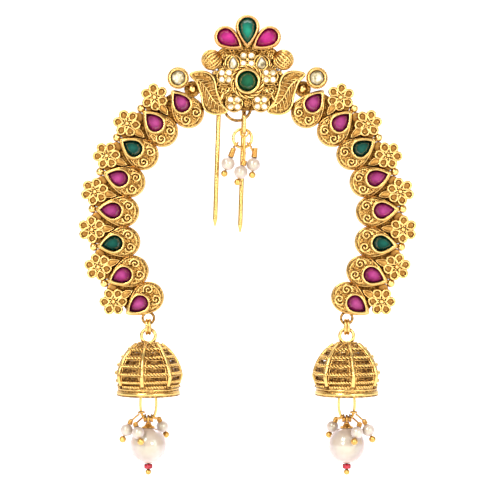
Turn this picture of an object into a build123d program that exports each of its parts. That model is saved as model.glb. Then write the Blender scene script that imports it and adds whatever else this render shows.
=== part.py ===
from build123d import *

import os
from math import atan2, cos, degrees, radians, sin, sqrt, tan

# Hair bun brooch: a horseshoe arch of stone-set lobes and small flowers, a crest of leaves and stones
# at its top, a two-pronged hair fork behind the crest, a pearl cluster under it, and a bell drop
# with a pearl pendant on each end of the arch. Sizes are in millimetres.
#
# Flat work is drawn as seen from the front, round the middle of the arch: x across, y up and z out
# towards the viewer, with the back of the brooch at z = 0. stand_up turns it to +Z up, front to -Y.
# What hangs is drawn standing. At the end everything is moved so that the origin lies on the back
# plane, on the middle line, at the height where the hair fork is rooted.

# Arch of lobes
arch_radius = 30.0          # circle through the arm stones
lobe_count = 8              # lobes on each arm
first_lobe_angle = 29.1     # degrees from the top
lobe_pitch = 14.0           # degrees from lobe to lobe
first_lobe_tilt = 8.0       # degrees that the first lobe turns outwards
lobe_length = 9.6
lobe_width = 6.9
lobe_inset = 1.3            # the lobe's middle lies this far inside the circle of stones
lobe_edge_height = 1.3
lobe_shoulder_height = 0.7
lobe_crown_height = 0.45
lobe_shoulder_taper = 24.0  # degrees
lobe_crown_taper = 55.0     # degrees
band_inset = 3.3            # flat strip behind the lobes, from inside the circle of stones
band_outset = 2.9           # to outside it
band_thickness = 1.0
scroll_radius = 0.72        # C-scrolls on the inner end of each lobe
scroll_wire = 0.22

# Flowers, balls and fillers between the lobes
flower_outset = 4.2         # flower centres outside the circle of stones
flower_radius = 3.05
flower_petals = 6
petal_width = 1.6
petal_wire = 0.4
flower_base = 0.8
flower_thickness = 0.8
flower_eye_radius = 0.55
tip_ball_radius = 0.9
tip_ball_outset = 4.25
tip_ball_out = 0.95         # ball middles in front of the back plane
filler_length = 3.0
filler_width = 2.2
filler_height = 1.8

# Stones and their bezels
stone_clearance = 0.06
bezel_wall = 0.45
cup_foot = 0.5              # the cups start this far above the back plane
bezel_height = 3.2
small_bezel_height = 2.5
seat_height = 2.05
small_seat_height = 1.75
girdle_share = 0.45         # of the stone's height that lies under its widest line
table_share = 0.62
culet_share = 0.45
pear_length = 4.5
pear_width = 3.3
pear_height = 1.8
crown_pear_length = 5.75
crown_pear_width = 3.75
crown_side_length = 5.4
crown_side_width = 3.45
crown_pear_height = 2.0
emerald_radius = 2.09
emerald_height = 2.0
emerald_bezel_wall = 0.7
white_round_radius = 1.5
hood_pear_length = 2.6
hood_pear_width = 1.85
hood_pear_height = 1.3
chip_radius = 0.5           # the tiny stones of the discs and the square flower
chip_height = 1.0
chip_rim = 0.22

# Crest
leaf_length = 11.3
leaf_half_width = 2.62
leaf_turn = 45.0            # degrees from across to the leaf's own line
leaf_height = 2.0
leaf_rim = 0.5
leaf_rim_height = 0.4
leaf_rib = 0.45
leaf_vein = 0.3
leaf_veins = 4
crest_thickness = 1.4
rosette_radius = 3.6        # outside of the rope ring round the emerald
rosette_height = 2.2
rope_wire = 0.36
disc_radius = 1.9           # discs of four tiny stones
disc_height = 2.2
disc_ring = 1.08            # circle through a disc's stones
square_flower_ring = 1.2
shell_radius = 2.15         # ball beads at the crown's sides
shell_out = 1.5
white_round_outset = 5.0
white_round_angle = 25.7
side_ball_radius = 0.95
side_ball_outset = 1.7
side_ball_angle = 22.6
hood_wire = 0.34
pad_radius = 1.5
pad_height = 1.85
curl_width = 1.0
curl_height = 1.9

# Ring soldered under the crest
hanger_radius = 2.9
hanger_wire = 0.33
hanger_out = 0.2

# Hair fork
fork_wire = 0.52
fork_spacing = 5.6
fork_offset = -3.5          # the fork's middle, across from the middle line
fork_root_share = 0.9       # height of the fork's root as a share of the arch radius
fork_lean = 1.9             # degrees, tips to the left
fork_reach = 28.0           # from the root down to the left tip
fork_right_extra = 1.2
fork_point = 1.6
fork_behind = 2.4           # prong middles behind the back plane
fork_clearance = 0.06
lug_length = 3.0
lug_wall = 0.55

# Wire rings that hang, and the room left between linked wires
wire_play = 0.12
arch_loop_radius = 1.25
arch_loop_wire = 0.3
arch_loop_drop = 1.15       # loop centre under the last lobe's lowest point
arch_loop_out = 0.9
arch_loop_play = 0.2
link_wire = 0.32
link_spread = 0.31          # the link is wound twice: half the distance between its two turns
link_height = 3.0           # between the middles of its top and bottom wires
link_depth = 2.34
eye_radius = 1.54
eye_wire = 0.36
eye_seat = 0.5              # eye ring centre under the link's bottom wire

# Bell
bell_height = 11.5
bell_radius = 6.9
bell_top_radius = 2.2
bell_shoulder_share = 0.76    # of the widest radius, near the top
bell_bulge_share = 0.63     # depth of the widest line
bell_waist_share = 0.79
bell_rim_share = 0.82
bell_waist_radius = 6.25
bell_rim_radius = 6.75
bell_wall = 0.6
bell_ribs = 7
bell_rib_width = 9.0        # degrees round the bell
bell_rib_height = 0.35
bell_turn = -8.0            # degrees that the left bell's first rib turns from the front
bell_hoop_wire = 0.32
bell_slot_rows = 4
bell_slot_share = 0.42      # of the distance between two hoops that is open
bell_slot_gap = 7.0         # degrees left closed at each end of a slot
bell_stem = 0.35

# Pendant under the bell
inner_loop_radius = 0.72
inner_loop_wire = 0.25
inner_loop_rise = 0.75      # its bottom wire above the bell's rim
pendant_ring_height = 6.7   # between its top and bottom wires
pendant_ring_width = 3.1
pendant_ring_wire = 0.35
pin_loop_radius = 0.75
pin_wire = 0.25
pearl_radius = 4.0
pearl_drop = 5.75           # pearl's middle under the ring's bottom wire
cap_radius = 1.5
cap_height = 0.55
red_bead_radius = 0.95
red_bead_height = 1.1
tip_radius = 0.65
bead_gap = 0.06

# Small pearls on head pins
small_pearl_radius = 1.35
small_pin_wire = 0.2
small_loop_radius = 0.65
small_ball_radius = 0.75
collar_radius = 0.42
collar_length = 0.7
knot_radius = 0.5           # where the shank enters the collar

# Centre drop
bail_wire = 0.42
bail_height = 4.3
bail_depth = 2.7
bail_across = -0.7
drop_ring_radius = 2.05
drop_ring_wire = 0.33
drop_ring_back = 0.35       # the ring hangs this far behind the bail's middle
drop_ring_aside = 0.4
drop_loop_radius = 0.85
drop_loop_front = 0.6
drop_pearl_radius = 1.5

# Leaf edge from tip to tip: along as a share of the leaf's length, across as a share of its half width
LEAF_EDGE = [
    # along, across
    (-0.500, 0.000),
    (-0.436, 0.511),
    (-0.327, 0.859),
    (-0.204, 1.000),
    (-0.073, 0.851),
    (0.045, 0.538),
    (0.170, 0.305),
    (0.309, 0.084),
    (0.500, 0.000),
]

# Crest features: across and up as shares of the arch radius
LEAF_MIDDLE = (0.283, 0.945)
EMERALD_MIDDLE = (0.0, 1.027)
TOP_PEAR_MIDDLE = (0.0, 1.393)
SIDE_PEAR_MIDDLE = (0.134, 1.333)
SIDE_PEAR_TURN = 57.0       # degrees that the side pears lean from upright
SQUARE_FLOWER_MIDDLE = (0.0, 1.187)
HOOD_MIDDLE = (0.104, 1.163)
SHELL_MIDDLE = (0.262, 1.187)
UPPER_DISC_MIDDLE = (0.161, 1.065)
LOWER_DISC_MIDDLE = (0.098, 0.868)
BOTTOM_PAD_MIDDLE = (0.0, 0.868)
HANGER_MIDDLE = (-0.073, 0.843)

# Outline of the crown's plate: across and up as shares of the arch radius
CROWN_PLATE = [
    # across, up
    (-0.215, 1.10),
    (0.215, 1.10),
    (0.215, 1.25),
    (0.150, 1.30),
    (0.000, 1.36),
    (-0.150, 1.30),
    (-0.215, 1.25),
]

# Ovals that back the crest and its granulated fields:
# across, up, half width and half height as shares of the arch radius, height in millimetres
CREST_FIELDS = [
    # across, up, half_width, half_height, height
    (0.000, 0.990, 0.310, 0.172, 1.4),
    (0.155, 0.960, 0.065, 0.060, 1.7),
    (-0.155, 0.960, 0.065, 0.060, 1.7),
    (0.150, 1.230, 0.070, 0.050, 1.7),
    (-0.150, 1.230, 0.070, 0.050, 1.7),
]

# Small pearls of the right pendant: the loop's place on the ring (degrees from its lowest point,
# left is minus), the pearl's place from the big pearl's middle (shares of the big pearl's radius,
# out is towards the viewer), and the way its pin points below it
PENDANT_PEARLS = [
    # name, loop_angle, across, out, up, point_across, point_out, point_up
    ("outer", 88.0, 1.16, 0.38, 0.87, 0.40, 0.10, -0.90),
    ("front", 46.0, 0.50, 0.98, 0.80, -0.30, 0.45, -0.84),
    ("inner", -46.0, -0.72, -0.95, 0.92, -0.35, -0.35, -0.87),
]

# Pearls of the centre drop: the loop's place on its ring (None hangs on the bail itself), then the
# pearl's place from the ring's middle as shares of the ring's radius, and the way its pin points
DROP_PEARLS = [
    # name, loop_angle, across, out, up, point_across, point_out, point_up
    ("left", -46.0, -1.56, 0.00, -2.74, -0.35, 0.00, -0.94),
    ("middle", None, -0.18, 0.25, -3.66, -0.31, 0.00, -0.95),
    ("right", 46.0, 1.17, 0.00, -2.83, -0.11, 0.00, -0.99),
]

FRONT = (Align.CENTER, Align.CENTER, Align.MIN)
root_height = fork_root_share * arch_radius


def polar(radius, angle):
    """Place on a circle round the arch's middle; the angle runs clockwise from the top."""
    return radius * sin(radians(angle)), radius * cos(radians(angle))


def on_arch(radius, angle, turn=0.0):
    """Location on the arch with the local y axis pointing outwards."""
    across, up = polar(radius, angle)
    return Pos(across, up, 0) * Rot(0, 0, -angle - turn)


def from_share(place, side=1):
    """A crest place in millimetres, mirrored for the other side."""
    return side * place[0] * arch_radius, place[1] * arch_radius


def stand_up(shape):
    """Turn flat work, drawn as seen from the front, to +Z up and front to -Y."""
    return Plane.XZ.location * shape


def fused(pieces):
    """One shape from many that overlap."""
    first, *rest = pieces
    return first.fuse(*rest) if rest else first


def raised(face, height, base=0.0, taper=0.0):
    """A flat face raised towards the viewer."""
    if not taper:
        return Pos(0, 0, base) * extrude(face, amount=height, dir=(0, 0, 1))
    sloped = extrude(face, amount=height, taper=taper)
    if sloped.bounding_box().min.Z < -height / 2:
        sloped = mirror(sloped, about=Plane.XY)
    return Pos(0, 0, base) * sloped


def ball(radius):
    """Sphere whose poles lie across, clear of what it is soldered to."""
    return Rot(0, 90, 0) * Sphere(radius)


def pear_arcs(length, width, fullness=1.2):
    """Centres of a pear's round end and side arc, and where they meet, for the right side."""
    end_radius = width / 2
    end_y = end_radius - length / 2
    reach = length / 2 - end_y
    side_radius = fullness * length
    drop = (reach**2 + (side_radius - end_radius) ** 2 - side_radius**2) / (2 * reach)
    inset = sqrt((side_radius - end_radius) ** 2 - drop**2)
    scale_out = end_radius / (side_radius - end_radius)
    meet = (inset * scale_out, end_y - drop * scale_out)
    side_centre = (-inset, end_y + drop)
    return end_radius, end_y, side_radius, side_centre, meet


def pear_side(length, width, share):
    """Point on the right side arc, from the tip (0) to the round end (1)."""
    _, _, side_radius, centre, meet = pear_arcs(length, width)
    tip_angle = atan2(length / 2 - centre[1], -centre[0])
    meet_angle = atan2(meet[1] - centre[1], meet[0] - centre[0])
    angle = tip_angle + share * (meet_angle - tip_angle)
    return centre[0] + side_radius * cos(angle), centre[1] + side_radius * sin(angle)


def pear_face(length, width):
    """Pear outline with its tip up, centred on its length."""
    _, _, _, _, meet = pear_arcs(length, width)
    tip = (0, length / 2)
    side = pear_side(length, width, 0.5)
    right = ThreePointArc(tip, side, meet)
    left = ThreePointArc(tip, (-side[0], side[1]), (-meet[0], meet[1]))
    end = ThreePointArc(meet, (0, -length / 2), (-meet[0], meet[1]))
    return make_face([right, end, left])


def pear_polygon(length, width):
    """Ten-sided pear for a cut stone, inside the outline of the same size."""
    end_radius, end_y, _, _, meet = pear_arcs(length, width)
    meet_angle = degrees(atan2(meet[1] - end_y, meet[0]))
    low_angle = radians((meet_angle - 90) / 2)
    right = [pear_side(length, width, share) for share in (0.4, 0.8)]
    right.append((end_radius * cos(low_angle * 0.4), end_y + end_radius * sin(low_angle * 0.4)))
    right.append((end_radius * cos(low_angle * 1.3), end_y + end_radius * sin(low_angle * 1.3)))
    left = [(-x, y) for x, y in reversed(right)]
    return make_face(Polyline((0, length / 2), *right, (0, -length / 2), *left, close=True))


def cut_stone(outline, height, seat):
    """Stone with a table, a ring of crown facets and a ring of facets below its widest line."""
    girdle = seat + girdle_share * height
    below = [Pos(0, 0, seat) * scale(outline, by=culet_share), Pos(0, 0, girdle) * outline]
    above = [Pos(0, 0, girdle) * outline, Pos(0, 0, seat + height) * scale(outline, by=table_share)]
    return fused([loft(below, ruled=True), loft(above, ruled=True)])


def setting(hole, rim, stone_outline, stone_height, cup_height, seat):
    """Bezel cup, the pocket to be cut in everything at its place, and the stone in it."""
    cup = raised(rim, cup_height - cup_foot, cup_foot)
    pocket = raised(hole, cup_height + stone_height, base=seat)
    stone = cut_stone(stone_outline, stone_height, seat + stone_clearance)
    return cup, pocket, stone


def pear_setting(length, width, height, cup_height=bezel_height, seat=seat_height):
    hole_length, hole_width = length + 2 * stone_clearance, width + 2 * stone_clearance
    hole = pear_face(hole_length, hole_width)
    rim = pear_face(hole_length + 2.3 * bezel_wall, hole_width + 2 * bezel_wall)
    rim = Pos(0, 0.15 * bezel_wall, 0) * rim
    return setting(hole, rim, pear_polygon(length, width), height, cup_height, seat)


def round_setting(radius, height, wall, cup_height=bezel_height, seat=seat_height):
    hole = Circle(radius + stone_clearance).face()
    rim = Circle(radius + stone_clearance + wall).face()
    outline = RegularPolygon(radius, 16).face()
    return setting(hole, rim, outline, height, cup_height, seat)


def torus_on(place, radius, wire, facing="front"):
    """Wire ring of a standing piece: facing the front, or seen edge-on from there."""
    turn = Rot(90, 0, 0) if facing == "front" else Rot(0, 90, 0)
    return Pos(*place) * turn * Torus(radius, wire)


def oval_link(place, height, width, wire, facing="front"):
    """Long wire ring hanging down from the middle of its top wire."""
    half = width / 2
    top = Torus(half, wire, major_angle=180, align=None)
    bottom = Pos(0, -(height - width), 0) * Rot(0, 0, 180) * top
    side = Rot(90, 0, 0) * Cylinder(wire, height - width)
    sides = [Pos(x, -(height - width) / 2, 0) * side for x in (-half, half)]
    flat = Pos(0, -half, 0) * fused([top, bottom, *sides])
    turn = Rot(90, 0, 0) if facing == "front" else Rot(0, 0, 90) * Rot(90, 0, 0)
    return Pos(*place) * turn * flat


def along(start, end):
    """Location at start with its z axis towards end, and the distance."""
    start, end = Vector(*start), Vector(*end)
    return Plane(origin=start, z_dir=end - start).location, (end - start).length


def rod(start, end, radius):
    where, length = along(start, end)
    return where * Cylinder(radius, length, align=FRONT)


def shifted(point, direction, distance):
    return tuple(p + d * distance for p, d in zip(point, direction))


def unit(vector):
    size = sqrt(sum(v * v for v in vector))
    return tuple(v / size for v in vector)


# Arch frame, flat work


def lobe():
    """Domed lobe, its tip outwards, with two C-scrolls on its round inner end."""
    outline = pear_face(lobe_length, lobe_width)
    edge = raised(outline, lobe_edge_height)
    shoulder = raised(outline, lobe_shoulder_height, lobe_edge_height, lobe_shoulder_taper)
    shoulder_inset = lobe_shoulder_height * tan(radians(lobe_shoulder_taper))
    crown_outline = offset(outline, amount=-shoulder_inset, kind=Kind.INTERSECTION)
    crown_base = lobe_edge_height + lobe_shoulder_height
    crown = raised(crown_outline, lobe_crown_height, crown_base, lobe_crown_taper)
    scroll_up = -lobe_length / 2 + lobe_width * 0.31
    scroll_out = crown_base + lobe_crown_height
    scrolls = []
    for side in (-1, 1):
        middle = Pos(side * scroll_radius * 1.75, scroll_up, scroll_out)
        scrolls.append(middle * Torus(scroll_radius, scroll_wire))
        scrolls.append(middle * Sphere(scroll_radius * 0.42))
    return fused([edge, shoulder, crown, *scrolls])


def lobe_turn(index):
    return first_lobe_tilt if index == 0 else 0.0


def lobe_angle(index):
    return first_lobe_angle + lobe_pitch * index


def flower():
    """Rosette of open wire petals round a small eye."""
    petal_length = flower_radius - flower_eye_radius * 0.4
    petal = Pos(0, flower_radius - petal_length / 2, 0) * Rot(0, 0, 180) * pear_face(
        petal_length, petal_width
    )
    hole = offset(petal, amount=-petal_wire, kind=Kind.INTERSECTION)
    turns = [Rot(0, 0, 360 / flower_petals * (k + 0.5)) for k in range(flower_petals)]
    outline = Sketch() + [turn * petal for turn in turns] + Circle(flower_eye_radius * 1.5)
    outline = outline - [turn * hole for turn in turns] + Circle(flower_eye_radius * 1.5)
    eye = Pos(0, 0, flower_base + flower_thickness) * Sphere(flower_eye_radius)
    return fused([raised(outline, flower_thickness, flower_base), eye])


def filler():
    """Small bright triangle between two lobes, its tip inwards."""
    half = filler_width / 2
    outline = make_face(Polyline((-half, 0), (half, 0), (0, -filler_length), close=True))
    return raised(outline, filler_height)


def arm_band(side):
    """Flat strip along the back of one arm."""
    last = lobe_angle(lobe_count - 1)
    middle = arch_radius + (band_outset - band_inset) / 2
    low = first_lobe_angle * side
    high = last * side
    arc = CenterArc((0, 0), middle, 90 - max(low, high), abs(high - low))
    return raised(trace(arc, band_inset + band_outset), band_thickness)


def arm_pieces(side):
    """Solids of one arm, the pockets to cut in them, and the stones."""
    solids = [arm_band(side)]
    pockets = []
    stones = []
    bloom = flower()
    wedge = filler()
    stalk = raised(Rectangle(tip_ball_radius, 2 * tip_ball_radius), lobe_edge_height)
    bead = Pos(0, 0, tip_ball_out) * ball(tip_ball_radius)
    tip_ball = fused([Pos(0, -tip_ball_radius, 0) * stalk, bead])
    cup, pocket, stone = pear_setting(pear_length, pear_width, pear_height)
    set_lobe = fused([Pos(0, -lobe_inset, 0) * lobe(), cup])
    for index in range(lobe_count):
        angle = side * lobe_angle(index)
        turn = side * lobe_turn(index)
        place = on_arch(arch_radius, angle, turn)
        solids.append(place * set_lobe)
        pockets.append(place * pocket)
        stones.append(place * stone)
        if index < lobe_count - 1:
            between = angle + side * lobe_pitch * 0.54
            solids.append(on_arch(arch_radius + flower_outset, between) * bloom)
            solids.append(on_arch(arch_radius + 2.2, between) * wedge)
        if 0 < index < lobe_count - 1:
            solids.append(on_arch(arch_radius + tip_ball_outset, angle) * tip_ball)
    return solids, pockets, stones


# Crest, flat work


def leaf_outline(length, half_width):
    """Leaf outline of arcs, the same again when turned half round."""
    upper = [(u * length, v * half_width) for u, v in LEAF_EDGE]
    arcs = []
    for first in range(0, len(upper) - 2, 2):
        points = upper[first : first + 3]
        arcs.append(ThreePointArc(*points))
        arcs.append(ThreePointArc(*[(-x, -y) for x, y in points]))
    return make_face(arcs)


def leaf(side):
    """Curved leaf with a raised rim, midrib and side veins."""
    outline = leaf_outline(leaf_length, leaf_half_width)
    inner = leaf_outline(leaf_length - 3.2 * leaf_rim, leaf_half_width - leaf_rim)
    slab = raised(outline, leaf_height)
    rim = raised(outline - inner, leaf_rim_height, leaf_height)
    reach = leaf_length * 0.44
    bend = leaf_half_width * 0.16
    ridges = []
    for turn in (-1, 1):
        rib_line = ThreePointArc((turn * reach, 0), (turn * reach / 2, -turn * bend), (0, 0))
        ridges.append(raised(trace(rib_line, leaf_rib), leaf_rim_height, leaf_height))
    for index in range(leaf_veins):
        foot = (-0.62 + 0.38 * index) * reach
        for lift in (-1, 1):
            wide = 0.62 if lift * foot < 0 else 0.26
            tip = (foot + leaf_length * 0.1, lift * leaf_half_width * wide)
            vein = trace(Line((foot, 0), tip), leaf_vein)
            ridges.append(raised(vein, leaf_rim_height * 0.7, leaf_height))
    flat = fused([slab, rim, *ridges])
    across, up = from_share(LEAF_MIDDLE, side)
    place = Pos(across, up, 0)
    if side < 0:
        return place * Rot(0, 0, -leaf_turn) * flat
    return place * Rot(0, 0, leaf_turn) * mirror(flat, about=Plane.YZ)


def shell_ball(side):
    """Ball bead soldered to the crown's side, its seam turned away from the crown."""
    across, up = from_share(SHELL_MIDDLE, side)
    return Pos(across, up, shell_out) * Rot(0, 0, 90 - 90 * side) * Sphere(shell_radius)


def four_stones(ring):
    """Places of the four tiny stones in a disc."""
    return [Rot(0, 0, 45 + 90 * k) * Pos(ring, 0, 0) for k in range(4)]


def chip_disc(place, ring, outline):
    """Disc with four tiny stones in raised cups."""
    hole = Circle(chip_radius + stone_clearance).face()
    polygon = RegularPolygon(chip_radius, 8).face()
    rim = Circle(chip_radius + stone_clearance + chip_rim).face()
    cup, pocket, chip = setting(
        hole, rim, polygon, chip_height, disc_height + 0.35, small_seat_height
    )
    spots = [place * spot for spot in four_stones(ring)]
    solids = [place * raised(outline, disc_height), place * Pos(0, 0, disc_height) * Sphere(0.35)]
    solids += [spot * cup for spot in spots]
    return solids, [spot * pocket for spot in spots], [spot * chip for spot in spots]


def crest_plate():
    """Plates that carry the crest's stones and leaves."""
    outline = make_face(Polyline(*[from_share(point) for point in CROWN_PLATE], close=True))
    plates = [raised(outline, crest_thickness)]
    for across, up, half_width, half_height, height in CREST_FIELDS:
        oval = Ellipse(half_width * arch_radius, half_height * arch_radius)
        plates.append(Pos(*from_share((across, up)), 0) * raised(oval, height))
    return plates


def rosette():
    """Emerald in a wide bezel inside a rope ring."""
    cup, pocket, stone = round_setting(emerald_radius, emerald_height, emerald_bezel_wall)
    disc = raised(Circle(rosette_radius - rope_wire), rosette_height)
    rope = Pos(0, 0, rosette_height) * Torus(rosette_radius - rope_wire, rope_wire)
    place = Pos(*from_share(EMERALD_MIDDLE), 0)
    return place * fused([disc, rope, cup]), place * pocket, place * stone


def hood(side):
    """Small pear stone under an arched wire hood."""
    cup, pocket, stone = pear_setting(
        hood_pear_length, hood_pear_width, hood_pear_height, small_bezel_height, small_seat_height
    )
    arch = Pos(0, 0, small_bezel_height * 0.8) * Torus(
        hood_pear_width / 2 + bezel_wall + hood_wire, hood_wire, major_angle=180, align=None
    )
    base = raised(Circle(hood_pear_width / 2 + bezel_wall + hood_wire), small_bezel_height * 0.7)
    place = Pos(*from_share(HOOD_MIDDLE, side), 0)
    return [place * cup, place * arch, place * base], place * pocket, place * stone


def curl(side):
    """Smooth crescent beside the leaf's inner edge."""
    bend = arch_radius * 0.16
    middle = (side * arch_radius * 0.33, arch_radius * 0.985)
    start = 192 if side > 0 else -52
    arc = CenterArc(middle, bend, start, 40)
    return raised(trace(arc, curl_width), curl_height)


def bottom_pad():
    """Three-cornered field under the rosette."""
    outline = RegularPolygon(pad_radius, 3, rotation=-90)
    return Pos(*from_share(BOTTOM_PAD_MIDDLE), 0) * raised(outline, pad_height)


def crest_pieces():
    """Solids of the crest, its pockets and its named stones."""
    solids = [*crest_plate(), bottom_pad()]
    pockets = []
    stones = {}
    chips = []
    middle, pocket, stone = rosette()
    solids.append(middle)
    pockets.append(pocket)
    stones["centre_emerald"] = stone
    cup, pocket, stone = pear_setting(crown_pear_length, crown_pear_width, crown_pear_height)
    place = Pos(*from_share(TOP_PEAR_MIDDLE), 0) * Rot(0, 0, 180)
    solids.append(place * cup)
    pockets.append(place * pocket)
    stones["crown_emerald"] = place * stone
    disc_face = Circle(disc_radius).face()
    square_face = fillet(Rectangle(3.3, 3.0).vertices(), 0.8).face()
    groups = [chip_disc(Pos(*from_share(SQUARE_FLOWER_MIDDLE), 0), square_flower_ring, square_face)]
    for side, word in ((-1, "left"), (1, "right")):
        solids.append(leaf(side))
        solids.append(shell_ball(side))
        solids.append(curl(side))
        cup, pocket, stone = pear_setting(crown_side_length, crown_side_width, crown_pear_height)
        place = Pos(*from_share(SIDE_PEAR_MIDDLE, side), 0) * Rot(0, 0, 180 - side * SIDE_PEAR_TURN)
        solids.append(place * cup)
        pockets.append(place * pocket)
        stones[f"crown_ruby_{word}"] = place * stone
        cup, pocket, stone = round_setting(white_round_radius, pear_height, bezel_wall + 0.2)
        place = on_arch(arch_radius + white_round_outset, side * white_round_angle)
        solids.append(place * cup)
        pockets.append(place * pocket)
        stones[f"white_round_{word}"] = place * stone
        perch = raised(Circle(side_ball_radius + 0.8), lobe_edge_height)
        bead = Pos(0, 0, lobe_edge_height) * ball(side_ball_radius)
        place = on_arch(arch_radius + side_ball_outset, side * side_ball_angle)
        solids.append(place * fused([perch, bead]))
        bodies, pocket, stone = hood(side)
        solids += bodies
        pockets.append(pocket)
        stones[f"hood_white_{word}"] = stone
        for spot in (UPPER_DISC_MIDDLE, LOWER_DISC_MIDDLE):
            groups.append(chip_disc(Pos(*from_share(spot, side), 0), disc_ring, disc_face))
    for group_solids, group_pockets, group_chips in groups:
        solids += group_solids
        pockets += group_pockets
        chips += group_chips
    stones["crest_chip_stones"] = Compound(children=[chip.solid() for chip in chips])
    return solids, pockets, stones


# Back and underside of the frame


def fork_place():
    """Location of the fork's root: y up along the prongs, behind the back plane."""
    return Pos(fork_offset, root_height, -fork_behind) * Rot(0, 0, -fork_lean)


def fork_lugs():
    """Two short tubes soldered to the back that hold the fork, and the bores in them."""
    outer = fork_wire + fork_clearance + lug_wall
    solids = []
    bores = []
    for side in (-1, 1):
        place = fork_place() * Pos(side * fork_spacing / 2, 0, 0)
        tube = Rot(90, 0, 0) * Cylinder(outer, lug_length)
        web = Pos(0, 0, (fork_behind + 0.5) / 2) * Box(2 * outer, lug_length, fork_behind + 0.5)
        solids += [place * tube, place * web]
        bores.append(place * Rot(90, 0, 0) * Cylinder(fork_wire + fork_clearance, 2 * lug_length))
    return solids, bores


def hair_fork():
    """U of stiff wire: two pointed prongs joined by a bend above the lugs."""
    half = fork_spacing / 2
    bend_height = lug_length / 2 + fork_clearance
    bend = Pos(0, bend_height, 0) * Torus(half, fork_wire, major_angle=180, align=None)
    pieces = [bend]
    for side in (-1, 1):
        reach = fork_reach + (fork_right_extra if side > 0 else 0.0)
        length = bend_height + reach - fork_point
        shaft = Rot(90, 0, 0) * Cylinder(fork_wire, length, align=FRONT)
        tip = Rot(90, 0, 0) * Cone(fork_wire, fork_wire * 0.25, fork_point, align=FRONT)
        pieces.append(Pos(side * half, bend_height, 0) * shaft)
        pieces.append(Pos(side * half, bend_height - length, 0) * tip)
    return fork_place() * fused(pieces)


def hanger_ring():
    """Wire ring soldered under the crest that the centre drop hangs on."""
    return Pos(*from_share(HANGER_MIDDLE), hanger_out) * Torus(hanger_radius, hanger_wire)


def arch_end():
    """Middle of the wire loop under an arm's last lobe, across and up, for the right arm."""
    end_circle = arch_radius - lobe_inset - lobe_length / 2 + lobe_width / 2
    across, up = polar(end_circle, lobe_angle(lobe_count - 1))
    return across, up - lobe_width / 2 - arch_loop_drop


def arch_loop(side):
    across, up = arch_end()
    return Pos(side * across, up, arch_loop_out) * Torus(arch_loop_radius, arch_loop_wire)


# Hanging pieces, drawn standing


def link_height_points():
    """Heights of the link's top and bottom wires."""
    _, loop_up = arch_end()
    hinge = loop_up - arch_loop_radius
    top = hinge + arch_loop_wire + arch_loop_play + link_wire
    return hinge, top, top - link_height


def chain_levels():
    """Heights, from the arch's middle, of what hangs under an arm's end."""
    link_hinge, link_top, link_bottom = link_height_points()
    eye = link_bottom - eye_seat
    bell_top = eye - eye_radius
    rim = bell_top - bell_height
    inner_hinge = rim + inner_loop_rise
    ring_top = inner_hinge + inner_loop_wire + wire_play + pendant_ring_wire
    ring_bottom = ring_top - pendant_ring_height
    pearl = ring_bottom - pearl_drop
    return {
        "link_hinge": link_hinge,
        "link_top": link_top,
        "bell_hinge": link_bottom,
        "eye": eye,
        "bell_top": bell_top,
        "rim": rim,
        "pendant_hinge": inner_hinge,
        "ring_top": ring_top,
        "ring_bottom": ring_bottom,
        "pearl": pearl,
    }


def ear_link(side):
    """Oval ring wound twice from one wire, seen edge-on from the front."""
    across, _ = arch_end()
    levels = chain_levels()
    turns = []
    for shift in (-link_spread, link_spread):
        place = (side * across + shift, -arch_loop_out, levels["link_top"])
        turns.append(oval_link(place, link_height, link_depth, link_wire, "side"))
    return fused(turns)


def bell_profile(inset=0.0):
    """Radius and depth of the bell's dome and rim, as lines of its section."""
    bulge = (bell_radius - inset, -bell_bulge_share * bell_height)
    top = (bell_top_radius, -inset)
    shoulder = (bell_shoulder_share * (bell_radius - inset), -0.245 * bell_height - 0.7 * inset)
    waist = (bell_waist_radius - inset, -bell_waist_share * bell_height)
    rim_top = (bell_rim_radius - inset, -bell_rim_share * bell_height)
    rim_end = (bell_rim_radius - inset, -bell_height)
    return top, shoulder, bulge, waist, rim_top, rim_end


def bell_section(inset=0.0, end_drop=0.0):
    """Closed face between the bell's axis and its wall."""
    top, shoulder, bulge, waist, rim_top, rim_end = bell_profile(inset)
    end = (rim_end[0], rim_end[1] - end_drop)
    lines = [
        Line((0, top[1]), top),
        ThreePointArc(top, shoulder, bulge),
        Line(bulge, waist),
        Line(waist, rim_top),
        Line(rim_top, end),
        Line(end, (0, end[1])),
        Line((0, end[1]), (0, top[1])),
    ]
    return Plane.XZ.location * make_face(lines)


def dome_radius(depth):
    """The dome's outer radius at a depth under the bell's top."""
    top, shoulder, bulge, waist, _, _ = bell_profile()
    if depth >= -bulge[1]:
        share = (depth + bulge[1]) / (bulge[1] - waist[1])
        return bulge[0] + share * (waist[0] - bulge[0])
    arc = ThreePointArc(top, shoulder, bulge)
    centre = arc.arc_center
    reach = arc.radius**2 - (-depth - centre.Y) ** 2
    return centre.X + sqrt(reach)


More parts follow.
